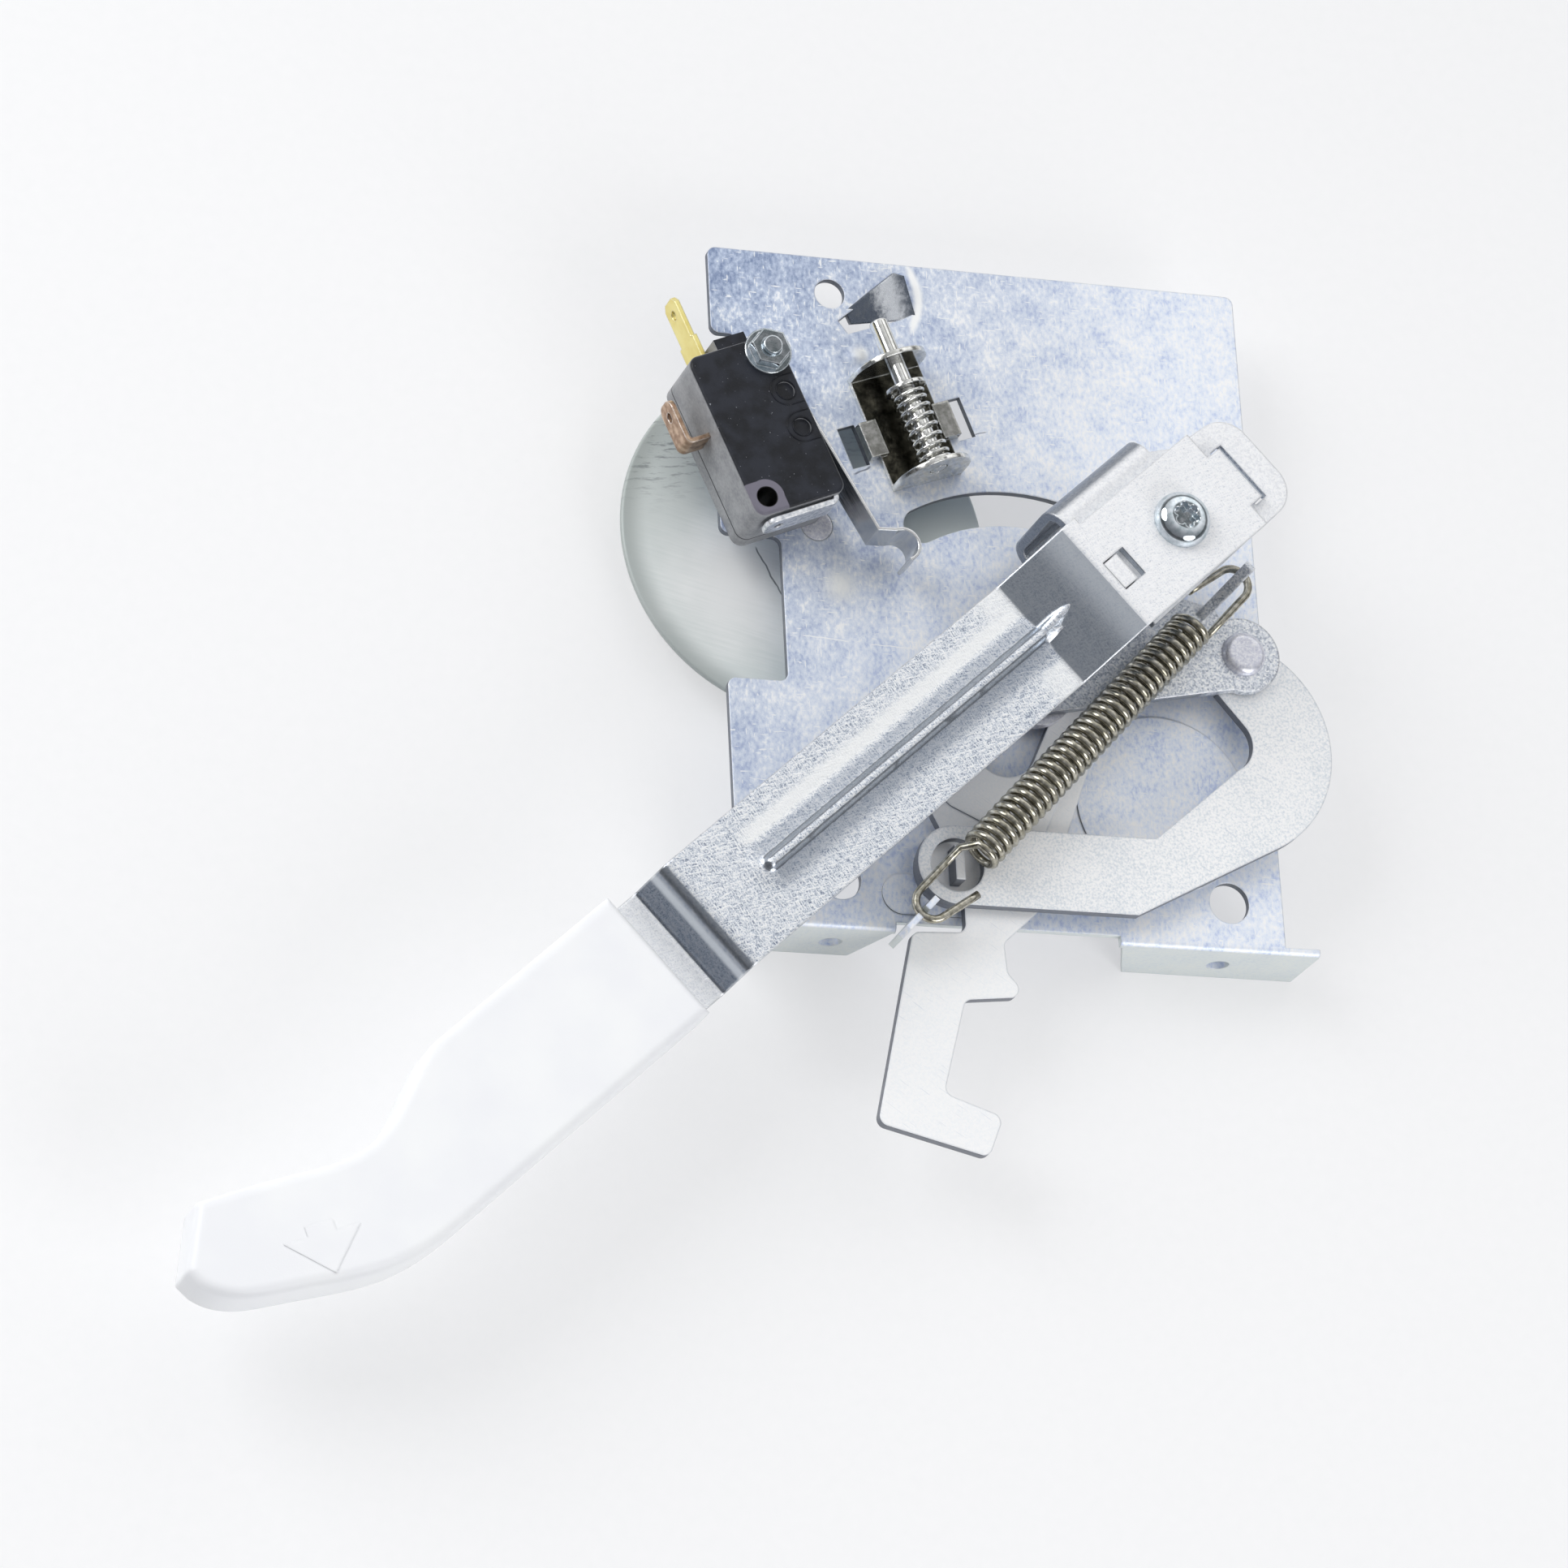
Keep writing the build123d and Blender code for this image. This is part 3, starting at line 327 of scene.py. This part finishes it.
plated_screw, place = new_finish("plated_screw")
tarnish = place.grain(0.8, 3.0)
colour = tarnish.rise(0.3, 0.7).between(ink(186, 198, 204), ink(226, 232, 238))
edge, rounded = edge_and_rounding(place, 0.0003)
# Edges painted lighter: partly wear, partly a painted highlight where they catch light.
colour = (edge * 0.6).between(colour, ink(252, 253, 254))
coat(place, colour, roughness=0.05 + tarnish * 0.06, metallic=0.97,
     height=place.grain(1.4, 2.0), depth=0.000004, normal=rounded)
dress(plated_screw, "lever_screw", "switch_nut", "switch_screw")


# Hook and link. Two blanked plates of pale zinc-plated steel with a matte, finely grained face. The
# hook slides on the guide bush by its slot, and its upright blade is caught in the link's eye.
def plated(name, dark, light):
    """Matte zinc plating with a fine grain and hair scratches; its upright cut faces are painted dark as
    painted shade.
    """
    zinc, place = new_finish(name)
    grain = place.grain(2.4, 3.0, 0.7)
    cloud = place.grain(0.12, 3.0)
    colour = (grain * 0.8 + cloud * 0.2).rise(0.34, 0.6).between(dark, light)
    hair = place.turned(35).times((0.16, 3.0, 1.0)).grain(1.4, 1.0).rise(0.68, 0.75)
    colour = (hair * 0.4).between(colour, ink(206, 213, 226))
    edge, rounded = edge_and_rounding(place, 0.0005)
    # Painted shade: the upright cut faces are painted dark.
    side = abs(facing(place)).rise(0.6, 0.3)
    colour = (side * 0.85).between(colour, ink(84, 90, 104))
    colour = (edge * (1 - side) * 0.35).between(colour, ink(206, 215, 236))
    coat(place, colour, roughness=0.5, metallic=0.2, height=grain, depth=0.00004, normal=rounded)
    return zinc


dress(plated("hook_zinc", ink(248, 250, 252), ink(255, 255, 255)), "hook")
dress(plated("link_zinc", ink(222, 228, 234), ink(255, 255, 255)), "link")


# Crank. A folded zinc-plated steel sheet: a flat arm on the pivot, a side wall and a raised platform
# for the lever, with a leaning finger for the spring. Its face is sandy and sparkles.
crank_zinc, place = new_finish("crank_zinc")
sand = place.grain(3.8, 2.0, 0.7)
speck = place.cells(3.0)
tone = sand * 0.75 + speck * 0.3
colour = tone.ramp((0.34, ink(172, 179, 192)), (0.48, ink(214, 219, 228)),
                   (0.58, ink(238, 241, 246)), (0.70, ink(254, 255, 255)))
raised = place.level().rise(24.0, 27.5) * facing(place).rise(0.6, 0.95)
colour = (raised * 0.7).between(colour, ink(254, 254, 255))
edge, rounded = edge_and_rounding(place, 0.0006)
# Painted shade: the steep faces, all but the finger, are painted darker.
steep_shaded = facing(place).rise(0.97, 0.75) * place.along((1.0, 0.0, 0.0)).rise(29.0, 27.0)
colour = (steep_shaded * 0.8).between(colour, ink(112, 120, 132))
# Edges painted lighter: partly wear, partly a painted highlight where they catch light.
colour = (edge * 0.6).between(colour, ink(250, 251, 254))
coat(place, colour, roughness=0.44 - steep_shaded * 0.22, metallic=0.8 - raised * 0.6,
     height=tone, depth=0.00007, normal=rounded)
dress(crank_zinc, "crank")


# Lever. A zinc-plated steel strip pressed with a long stiffening rib, joggled down into the handle
# and bent up on to the crank's platform. Short polishing scratches cross it in all directions.
lever_pivot = (0.0, 40.8, 0.0)
lever_turn = 41.4
rib_side = 4.4
joggle_run = -75.7
lever_zinc, place = new_finish("lever_zinc")
sand = place.grain(4.2, 3.0, 0.7)
stroke = place.turned(-20).times((0.5, 2.6, 1.0)).grain(1.6, 1.0).most(
    place.turned(55).times((0.5, 2.6, 1.0)).grain(1.8, 1.0))
tone = sand * 0.55 + stroke * 0.5
colour = tone.ramp((0.42, ink(126, 136, 156)), (0.51, ink(204, 211, 222)),
                   (0.60, ink(246, 248, 251)), (0.68, ink(255, 255, 255)))
raised = place.level().rise(26.0, 29.0) * facing(place).rise(0.6, 0.95)
brushed = place.turned(-35).times((0.5, 1.6, 1.0)).grain(1.6, 3.0, 0.7).rise(0.4, 0.7)
colour = (raised * (0.85 - brushed * 0.4)).between(colour, ink(254, 254, 255))
edge, rounded = edge_and_rounding(place, 0.0006)
steep_shaded = facing(place).rise(0.92, 0.84)
from_pivot = place.less(lever_pivot).turned(-lever_turn)
run = from_pivot.along((1.0, 0.0, 0.0))
across = from_pivot.along((0.0, 1.0, 0.0)) - rib_side + (sand - 0.5) * 1.2
ribbed = run.rise(-63.5, -60.0) * run.rise(3.0, -2.0)
# Painted highlight and painted shade along the rib: a white band out on one flank and at the bends by the
# slope, and darker bands either side of the ridge.
rib_and_bend_painted_highlight = ribbed * across.rise(3.4, 4.6) * across.rise(7.4, 5.6)
rib_and_bend_painted_highlight = rib_and_bend_painted_highlight.most(run.rise(-7.0, -3.6) * run.rise(1.6, -0.6) * abs(across).rise(4.4, 5.4) * 0.8)
colour = (rib_and_bend_painted_highlight * 0.85).between(colour, ink(254, 255, 255))
rib_painted_shade = ribbed * across.rise(1.2, 1.8) * across.rise(4.2, 3.0) * 0.45
rib_painted_shade = rib_painted_shade.most(ribbed * across.rise(-0.8, -1.4) * across.rise(-6.0, -2.2) * 0.6)
colour = rib_painted_shade.between(colour, ink(128, 138, 154))
# Painted shade on the steep faces: mid grey high up, darker on the low joggle wall.
low = place.level().rise(22.0, 19.5)
colour = (steep_shaded * 0.75).between(colour, low.between(ink(170, 178, 188), ink(104, 114, 128)))
# Painted highlight: a pale line along the joggle's bend.
joggle_painted_highlight = abs(run - joggle_run).rise(0.5, 0.15) * low * steep_shaded
colour = (joggle_painted_highlight * 0.8).between(colour, ink(228, 233, 238))
# Painted sheen: the low flat tail by the handle painted nearly white.
tail_painted_sheen = place.level().rise(16.5, 15.5) * (1 - steep_shaded)
colour = (tail_painted_sheen * 0.7).between(colour, ink(252, 253, 255))
# Edges painted lighter: partly wear, partly a painted highlight where they catch light.
colour = (edge * 0.7).between(colour, ink(252, 253, 255))
coat(place, colour, roughness=0.4 - steep_shaded * 0.2, metallic=0.9 - raised * 0.65,
     height=tone * (1 - steep_shaded * 0.85), depth=0.0001, normal=rounded)
dress(lever_zinc, "lever")


# Handle. A white moulded plastic grip pushed over the lever's tail, with a finger scoop, soft top
# edges and a raised arrow. Satin, slightly cool white, with a few rubbed patches.
white_grip, place = new_finish("white_grip")
rub = place.grain(0.09, 3.0)
skin = place.grain(5.0, 2.0)
colour = rub.rise(0.3, 0.75).between(ink(245, 246, 249), ink(250, 251, 252))
edge, rounded = edge_and_rounding(place, 0.0006)
coat(place, colour, roughness=0.34 + rub * 0.16, metallic=0.0, height=skin, depth=0.00001, normal=rounded)
dress(white_grip, "handle")


# Main spring. Close-wound olive-brown hard-drawn wire, hooked in the lug's notch at one end and over
# the crank's finger at the other. In the latch it turns about the lug and stretches as the lever swings;
# here it is built as one fixed wire at rest.
spring_wire_r = 0.65
coil_r = 2.8
coil_turns = 33
coil_turn_steps = 20
hook_apex = Vector((-22.3, 0.0, 14.8))
eye_apex = Vector((33.2, 58.6, 19.0))
spring_l = (eye_apex - hook_apex).length
coil_start = 13.6
coil_end = spring_l - 12.4
hook_root = 12.6
eye_root = spring_l - 12.0
loop_r = 2.7
loop_steps = 24
loop_tail = 7.0
loop_splay = 13.0


def wire(name, points, radius, sides=10):
    """A round wire along a line of points in millimetres, with closed ends."""
    mesh = bpy.data.meshes.new(name)
    corners = []
    faces = []
    up = Vector((0.0, 0.0, 1.0))
    for index, point in enumerate(points):
        ahead = (points[min(index + 1, len(points) - 1)] - points[max(index - 1, 0)]).normalized()
        up = (up - ahead * up.dot(ahead)).normalized()
        across = ahead.cross(up)
        for step in range(sides):
            angle = 2 * math.pi * step / sides
            corners.append((point + (up * math.cos(angle) + across * math.sin(angle)) * radius) / 1000)
    for ring in range(len(points) - 1):
        for step in range(sides):
            after = (step + 1) % sides
            here = ring * sides
            faces.append((here + step, here + after, here + sides + after, here + sides + step))
    last = (len(points) - 1) * sides
    faces.append(tuple(range(sides - 1, -1, -1)))
    faces.append(tuple(range(last, last + sides)))
    mesh.from_pydata(corners, [], faces)
    mesh.update()
    mesh.shade_smooth()
    piece = bpy.data.objects.new(name, mesh)
    bpy.context.scene.collection.objects.link(piece)
    return piece


def end_loop(root, end, side):
    """Open loop from the coil at root round the lug or finger at end, as places along and across."""
    bend = end + side * loop_r
    spots = [(root, side * loop_r), ((root + bend) / 2, side * loop_r)]
    for step in range(loop_steps + 1):
        turn = math.radians(side * 90 + (180 - loop_splay) * step / loop_steps)
        spots.append((bend + loop_r * math.cos(turn), loop_r * math.sin(turn)))
    tail_along, tail_across = spots[-1]
    for share in (0.25, 0.5, 0.75, 1.0):
        ahead = loop_tail * share
        spots.append((tail_along - ahead * math.sin(turn), tail_across + ahead * math.cos(turn)))
    return [(along, across, 0.0) for along, across in spots]


def on_axis(origin, axis, x, y, z):
    """A point of a spring, from its place along the axis, to the left of it and above it."""
    left = Vector((0.0, 0.0, 1.0)).cross(axis).normalized()
    return origin + axis * x + left * y + axis.cross(left) * z


spring_axis = (eye_apex - hook_apex).normalized()
coil = []
for step in range(coil_turns * coil_turn_steps + 1):
    turn = 2 * math.pi * step / coil_turn_steps
    along = coil_start + (coil_end - coil_start) * step / (coil_turns * coil_turn_steps)
    coil.append((along, coil_r * math.cos(turn), coil_r * math.sin(turn)))
hook_line = [on_axis(hook_apex, spring_axis, *spot) for spot in reversed(end_loop(hook_root, 0.0, 1))]
eye_line = [on_axis(hook_apex, spring_axis, *spot) for spot in end_loop(eye_root, spring_l, -1)]
coil_line = [on_axis(hook_apex, spring_axis, *spot) for spot in coil]
main_coil = wire("main_coil", hook_line + coil_line[4:-4] + eye_line, spring_wire_r)

spring_wire, place = new_finish("spring_wire")
draw = place.grain(1.2, 3.0)
colour = draw.rise(0.3, 0.7).between(ink(146, 142, 126), ink(196, 192, 180))
coat(place, colour, roughness=0.16 + draw * 0.14, metallic=0.95, height=draw, depth=0.00002)
main_coil.data.materials.append(spring_wire)
dress(spring_wire, "main_spring", "spring_eye")
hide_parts("main_spring", "spring_eye")
on_axis(hook_apex, spring_axis, coil_start, 0, 0) / 1000
on_axis(hook_apex, spring_axis, coil_end, 0, 0) / 1000
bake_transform(main_coil)


# Limit switch. A snap-action switch moulded in two halves of phenolic, its top near black and its
# sides greyer, held to the plate by one screw and a flanged nut through a corner hole.
switch_middle = (-44.35, 77.3, 0.0)
switch_turn = 67.9
bore_u, bore_v = 11.1, -5.15
black_case, place = new_finish("black_case")
local = place.less(switch_middle).turned(switch_turn)
u = local.along((1.0, 0.0, 0.0))
v = local.along((0.0, 1.0, 0.0))
top = facing(place).rise(0.75, 0.95).most(place.level().rise(18.5, 18.65))
dust = place.grain(1.9, 2.0, 0.7).rise(0.70, 0.76)
cloud = place.grain(0.35, 3.0)
black = cloud.rise(0.3, 0.7).between(ink(20, 22, 28), ink(38, 41, 50))
black = (dust * 0.7).between(black, ink(170, 174, 182))
from_bore = local.plan_from(bore_u, bore_v).length()
pad_u = u - bore_u
pad_v = v - bore_v
pad_corner = pad_u.rise(-0.1, 0.1).most(pad_v.rise(0.1, -0.1))
pad = pad_u.rise(-2.9, -2.7) * pad_v.rise(2.9, 2.7) * pad_corner
pad = from_bore.rise(2.95, 2.8).most(pad)
black = (pad * 0.9).between(black, ink(122, 119, 132))
# Painted shade: the bore is painted nearly black.
bore_painted_shade = from_bore.rise(1.78, 1.66)
mottle = (cloud * 0.6 + place.grain(2.2, 2.0) * 0.4).rise(0.3, 0.7)
grey = mottle.between(ink(132, 134, 138), ink(164, 165, 168))
seam = abs(place.level() - 9.1).rise(0.22, 0.08)
grey = (seam * 0.85).between(grey, ink(44, 45, 50))
colour = bore_painted_shade.between(top.between(grey, black), ink(8, 8, 9))
rounded = edge_and_rounding(place, 0.0005)[1]
coat(place, colour, roughness=0.3 + cloud * 0.2, metallic=0.0, height=place.grain(4.0, 2.0),
     depth=0.00002, normal=rounded, fixed={"Specular IOR Level": 0.3})
dress(black_case, "switch_base", "switch_case", "switch_plunger")

case_top = 18.9
case_run = Vector((math.cos(math.radians(switch_turn)), -math.sin(math.radians(switch_turn)), 0.0))
case_cross = Vector((-case_run.y, case_run.x, 0.0))
dimple_side = 5.4
lobe_r = 2.5
lobe_foot = 7.5
dimple_ring_r = 1.62


def moulded_line(name, spots, radius):
    """A fine moulded line half sunk in the case's top, from places along and across the case."""
    middle = Vector((switch_middle[0], switch_middle[1], case_top))
    line = [middle + case_run * along + case_cross * across for along, across in spots]
    ridge = wire(name, line, radius, sides=8)
    ridge.data.materials.append(black_case)
    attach(ridge, "base")


for label, dimple in (("front", 2.0), ("back", -4.4)):
    bow = [math.radians(90 + 180 * step / 24) for step in range(25)]
    lobe = [(dimple + lobe_r * math.sin(turn), dimple_side + lobe_r * math.cos(turn)) for turn in bow]
    lobe = [(dimple + lobe_r, lobe_foot)] + lobe + [(dimple - lobe_r, lobe_foot)]
    moulded_line("case_lobe_" + label, lobe, radius=0.13)
    ring = []
    for step in range(33):
        turn = 2 * math.pi * step / 32
        ring.append((dimple + dimple_ring_r * math.cos(turn), dimple_side + dimple_ring_r * math.sin(turn)))
    moulded_line("case_ring_" + label, ring, radius=0.12)


# Switch terminals and strips. Stamped tabs pushed into the case: one of brass, one of worn copper
# alloy with the snap blade inside, and one silver plated. The strip lever is spring steel.
def stamped(name, dark, light, edge_wear_and_sheen, fleck=0.8):
    """Metal of a stamped tab, rubbed in patches and painted another colour on its edges, partly for wear and
    partly as a painted highlight.
    """
    metal, place = new_finish(name)
    rub = place.grain(fleck, 3.0, 0.5)
    colour = rub.rise(0.3, 0.7).between(dark, light)
    edge, rounded = edge_and_rounding(place, 0.0004)
    # Edges painted lighter: partly wear, partly a painted highlight where they catch light.
    colour = (edge * 0.7).between(colour, edge_wear_and_sheen)
    coat(place, colour, roughness=0.24 + rub * 0.16, metallic=0.9, height=rub, depth=0.00001, normal=rounded)
    return metal


brass_tab = stamped("brass_tab", ink(232, 214, 128), ink(246, 234, 160), ink(252, 248, 214), fleck=0.25)
copper_tab = stamped("copper_tab", ink(150, 120, 98), ink(206, 180, 156), ink(252, 248, 244))
silver_tab = stamped("silver_tab", ink(196, 200, 208), ink(250, 251, 253), ink(254, 254, 255), fleck=1.6)
dress(brass_tab, "terminal_brass")
dress(copper_tab, "terminal_copper", "snap_blade")
dress(silver_tab, "terminal_silver")

strip_steel, place = new_finish("strip_steel")
temper = place.turned(switch_turn).times((0.08, 1.0, 1.0)).grain(2.4, 2.0)
colour = temper.rise(0.3, 0.7).between(ink(84, 86, 88), ink(150, 152, 154))
# Painted highlight: the curled end is painted pale.
curl_painted_highlight = place.less(switch_middle).turned(switch_turn).along((1.0, 0.0, 0.0)).rise(12.0, 19.0)
colour = (curl_painted_highlight * 0.85).between(colour, ink(232, 233, 232))
edge, rounded = edge_and_rounding(place, 0.0003)
# Top faces painted near white as a painted highlight, and edges lighter for wear and highlight; the darker
# grain stays on the steep faces.
colour = facing(place).rise(0.6, 0.95).most(edge * 0.6).between(colour, ink(244, 245, 246))
coat(place, colour, roughness=0.12 + temper * 0.1, metallic=0.95, height=temper, depth=0.000003, normal=rounded)
dress(strip_steel, "switch_lever")


# Lock pin group. A bright nickel-plated bracket clamped by two plate tabs carries a plain pin, a
# small return spring and a spring clip. The bracket's floor is painted almost black, a painted dark reflection.
nickel, place = new_finish("nickel")
rub = place.grain(0.9, 4.0, 0.6)
colour = rub.rise(0.35, 0.7).between(ink(218, 218, 214), ink(242, 242, 240))
edge, rounded = edge_and_rounding(place, 0.0003)
# Edges painted lighter: partly wear, partly a painted highlight where they catch light.
colour = (edge * 0.6).between(colour, ink(250, 250, 248))
coat(place, colour, roughness=0.05 + rub * 0.08, metallic=0.97, height=rub, depth=0.000002, normal=rounded)

bracket_nickel, place = new_finish("bracket_nickel")
rub = place.grain(0.9, 4.0, 0.6)
colour = rub.rise(0.35, 0.7).between(ink(206, 206, 200), ink(242, 242, 240))
# Painted reflection: the bracket's flat floor is painted almost black, a dark reflection.
floor_painted_reflection = facing(place).rise(0.7, 0.9) * place.level().rise(8.6, 7.9)
colour = floor_painted_reflection.between(colour, rub.rise(0.3, 0.75).between(ink(34, 34, 29), ink(84, 82, 72)))
edge, rounded = edge_and_rounding(place, 0.0004)
# Edges painted lighter: partly wear, partly a painted highlight where they catch light.
colour = (edge * 0.8).between(colour, ink(250, 250, 248))
coat(place, colour, roughness=0.07 + rub * 0.08 + floor_painted_reflection * 0.14, metallic=0.97,
     height=rub, depth=0.000002, normal=rounded)
dress(bracket_nickel, "pin_bracket")

pin_start = Vector((-13.9, 75.4, 12.0))
pin_turn = math.radians(109.7)
pin_axis = Vector((math.cos(pin_turn), math.sin(pin_turn), 0.0))
pin_wire_r = 0.3
pin_coil_r = 2.45
pin_coil_turns = 9
pin_coil_steps = pin_coil_turns * 24
pin_coil_start = 1.1
pin_coil_l = 12.5
pin_coil = []
for step in range(pin_coil_steps + 1):
    share = step / pin_coil_steps
    close = 0.5 * share + 0.5 * (share * share * (3 - 2 * share))
    turn = 2 * math.pi * pin_coil_turns * share
    pin_coil.append(on_axis(pin_start, pin_axis, pin_coil_start + pin_coil_l * close,
                            pin_coil_r * math.cos(turn), pin_coil_r * math.sin(turn)))
return_coil = wire("return_coil", pin_coil, pin_wire_r, sides=8)
return_coil.data.materials.append(nickel)
dress(nickel, "lock_pin", "pin_clip", "pin_spring")
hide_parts("pin_spring")
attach(return_coil, "base")
on_axis(pin_start, pin_axis, 0.8, 0, 0) / 1000
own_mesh(return_coil)


# Studio. A plain pale table under the latch, a soft lamp on each side and a bright surround overhead
# with a dark gap where the camera's own stand shows in mirrors. The camera is where it was for the
# photograph.
table_z = -0.0058
table_half = 3
sides = ((-1, -1), (1, -1), (1, 1), (-1, 1))
mesh = bpy.data.meshes.new("table")
mesh.from_pydata([(x * table_half, y * table_half, table_z) for x, y in sides], [], [(0, 1, 2, 3)])
table = bpy.data.objects.new("table", mesh)
bpy.context.scene.collection.objects.link(table)
paper, place = new_finish("paper")
fibre = place.grain(0.5, 3.0)
pale = fibre.between(ink(240, 241, 242), ink(248, 248, 249))
sheet = place.node("ShaderNodeBsdfDiffuse", None, {"Color": pale})
white = place.node("ShaderNodeEmission", None, {"Color": ink(253, 253, 254), "Strength": 1.0})
seen = place.node("ShaderNodeLightPath", out="Is Camera Ray")
seen = seen.most(place.node("ShaderNodeLightPath", out="Is Glossy Ray"))
seen = seen.most(place.node("ShaderNodeLightPath", out="Is Transmission Ray"))
shader = place.node("ShaderNodeMixShader", None, {0: seen * 0.5, 1: sheet, 2: white})
place.node("ShaderNodeOutputMaterial", None, {"Surface": shader})
table.data.materials.append(paper)

world = bpy.data.worlds.new("surround")
bpy.context.scene.world = world
world.use_nodes = True
world.node_tree.nodes.clear()
sky = Tone(world.node_tree)
ray = sky.node("ShaderNodeTexCoord", out="Generated")
height = ray.along(Vector((0.33, 0.70, 0.64)).normalized()) * 0.5 + 0.5
light = height.ramp((0.30, (0.12, 0.12, 0.13, 1.0)), (0.50, (0.17, 0.175, 0.185, 1.0)),
                    (0.68, (0.25, 0.255, 0.265, 1.0)), (0.80, (0.38, 0.385, 0.395, 1.0)),
                    (0.90, (0.56, 0.565, 0.57, 1.0)), (0.955, (0.74, 0.745, 0.75, 1.0)),
                    (0.985, (1.0, 1.0, 1.0, 1.0)))
gap = ray.along(Vector((0.31, 0.35, 0.886)).normalized()).rise(0.991, 0.997)
light = (gap * 0.9).between(light, (0.03, 0.03, 0.03, 1.0))
level = ray.level()
light = (level.rise(0.12, 0.2) * level.rise(0.48, 0.38) * 0.8).between(light, (0.04, 0.04, 0.04, 1.0))
background = sky.node("ShaderNodeBackground", None, {"Color": light, "Strength": 1.35})
sky.node("ShaderNodeOutputWorld", None, {"Surface": background})

for name, side, strength in (("front_lamp", Vector((0.55, -0.90, 0.55)), 6.5),
                             ("left_lamp", Vector((-0.85, 0.45, 0.62)), 7.5)):
    lamp = bpy.data.lights.new(name, "AREA")
    lamp.shape = "DISK"
    lamp.size = 0.8
    lamp.energy = strength
    lamp_stand = bpy.data.objects.new(name, lamp)
    bpy.context.scene.collection.objects.link(lamp_stand)
    lamp_stand.location = side
    lamp_stand.rotation_euler = side.to_track_quat("Z", "Y").to_euler()

right = Vector((0.94965, -0.04844, 0.30954))
down = Vector((0.06516, -0.93584, -0.34634))
ahead = Vector((0.30646, 0.34907, -0.88557))
camera_place = (-0.310485, -0.284807, 0.787014)
camera = bpy.data.cameras.new("camera")
camera.sensor_width = 36.0
camera.lens = 132.24
camera.clip_start = 0.01
viewpoint = bpy.data.objects.new("camera", camera)
bpy.context.scene.collection.objects.link(viewpoint)
turn = Matrix((right, -down, -ahead)).transposed().to_4x4()
viewpoint.matrix_world = Matrix.Translation(camera_place) @ turn
bpy.context.scene.camera = viewpoint
bpy.context.scene.view_settings.view_transform = "Standard"
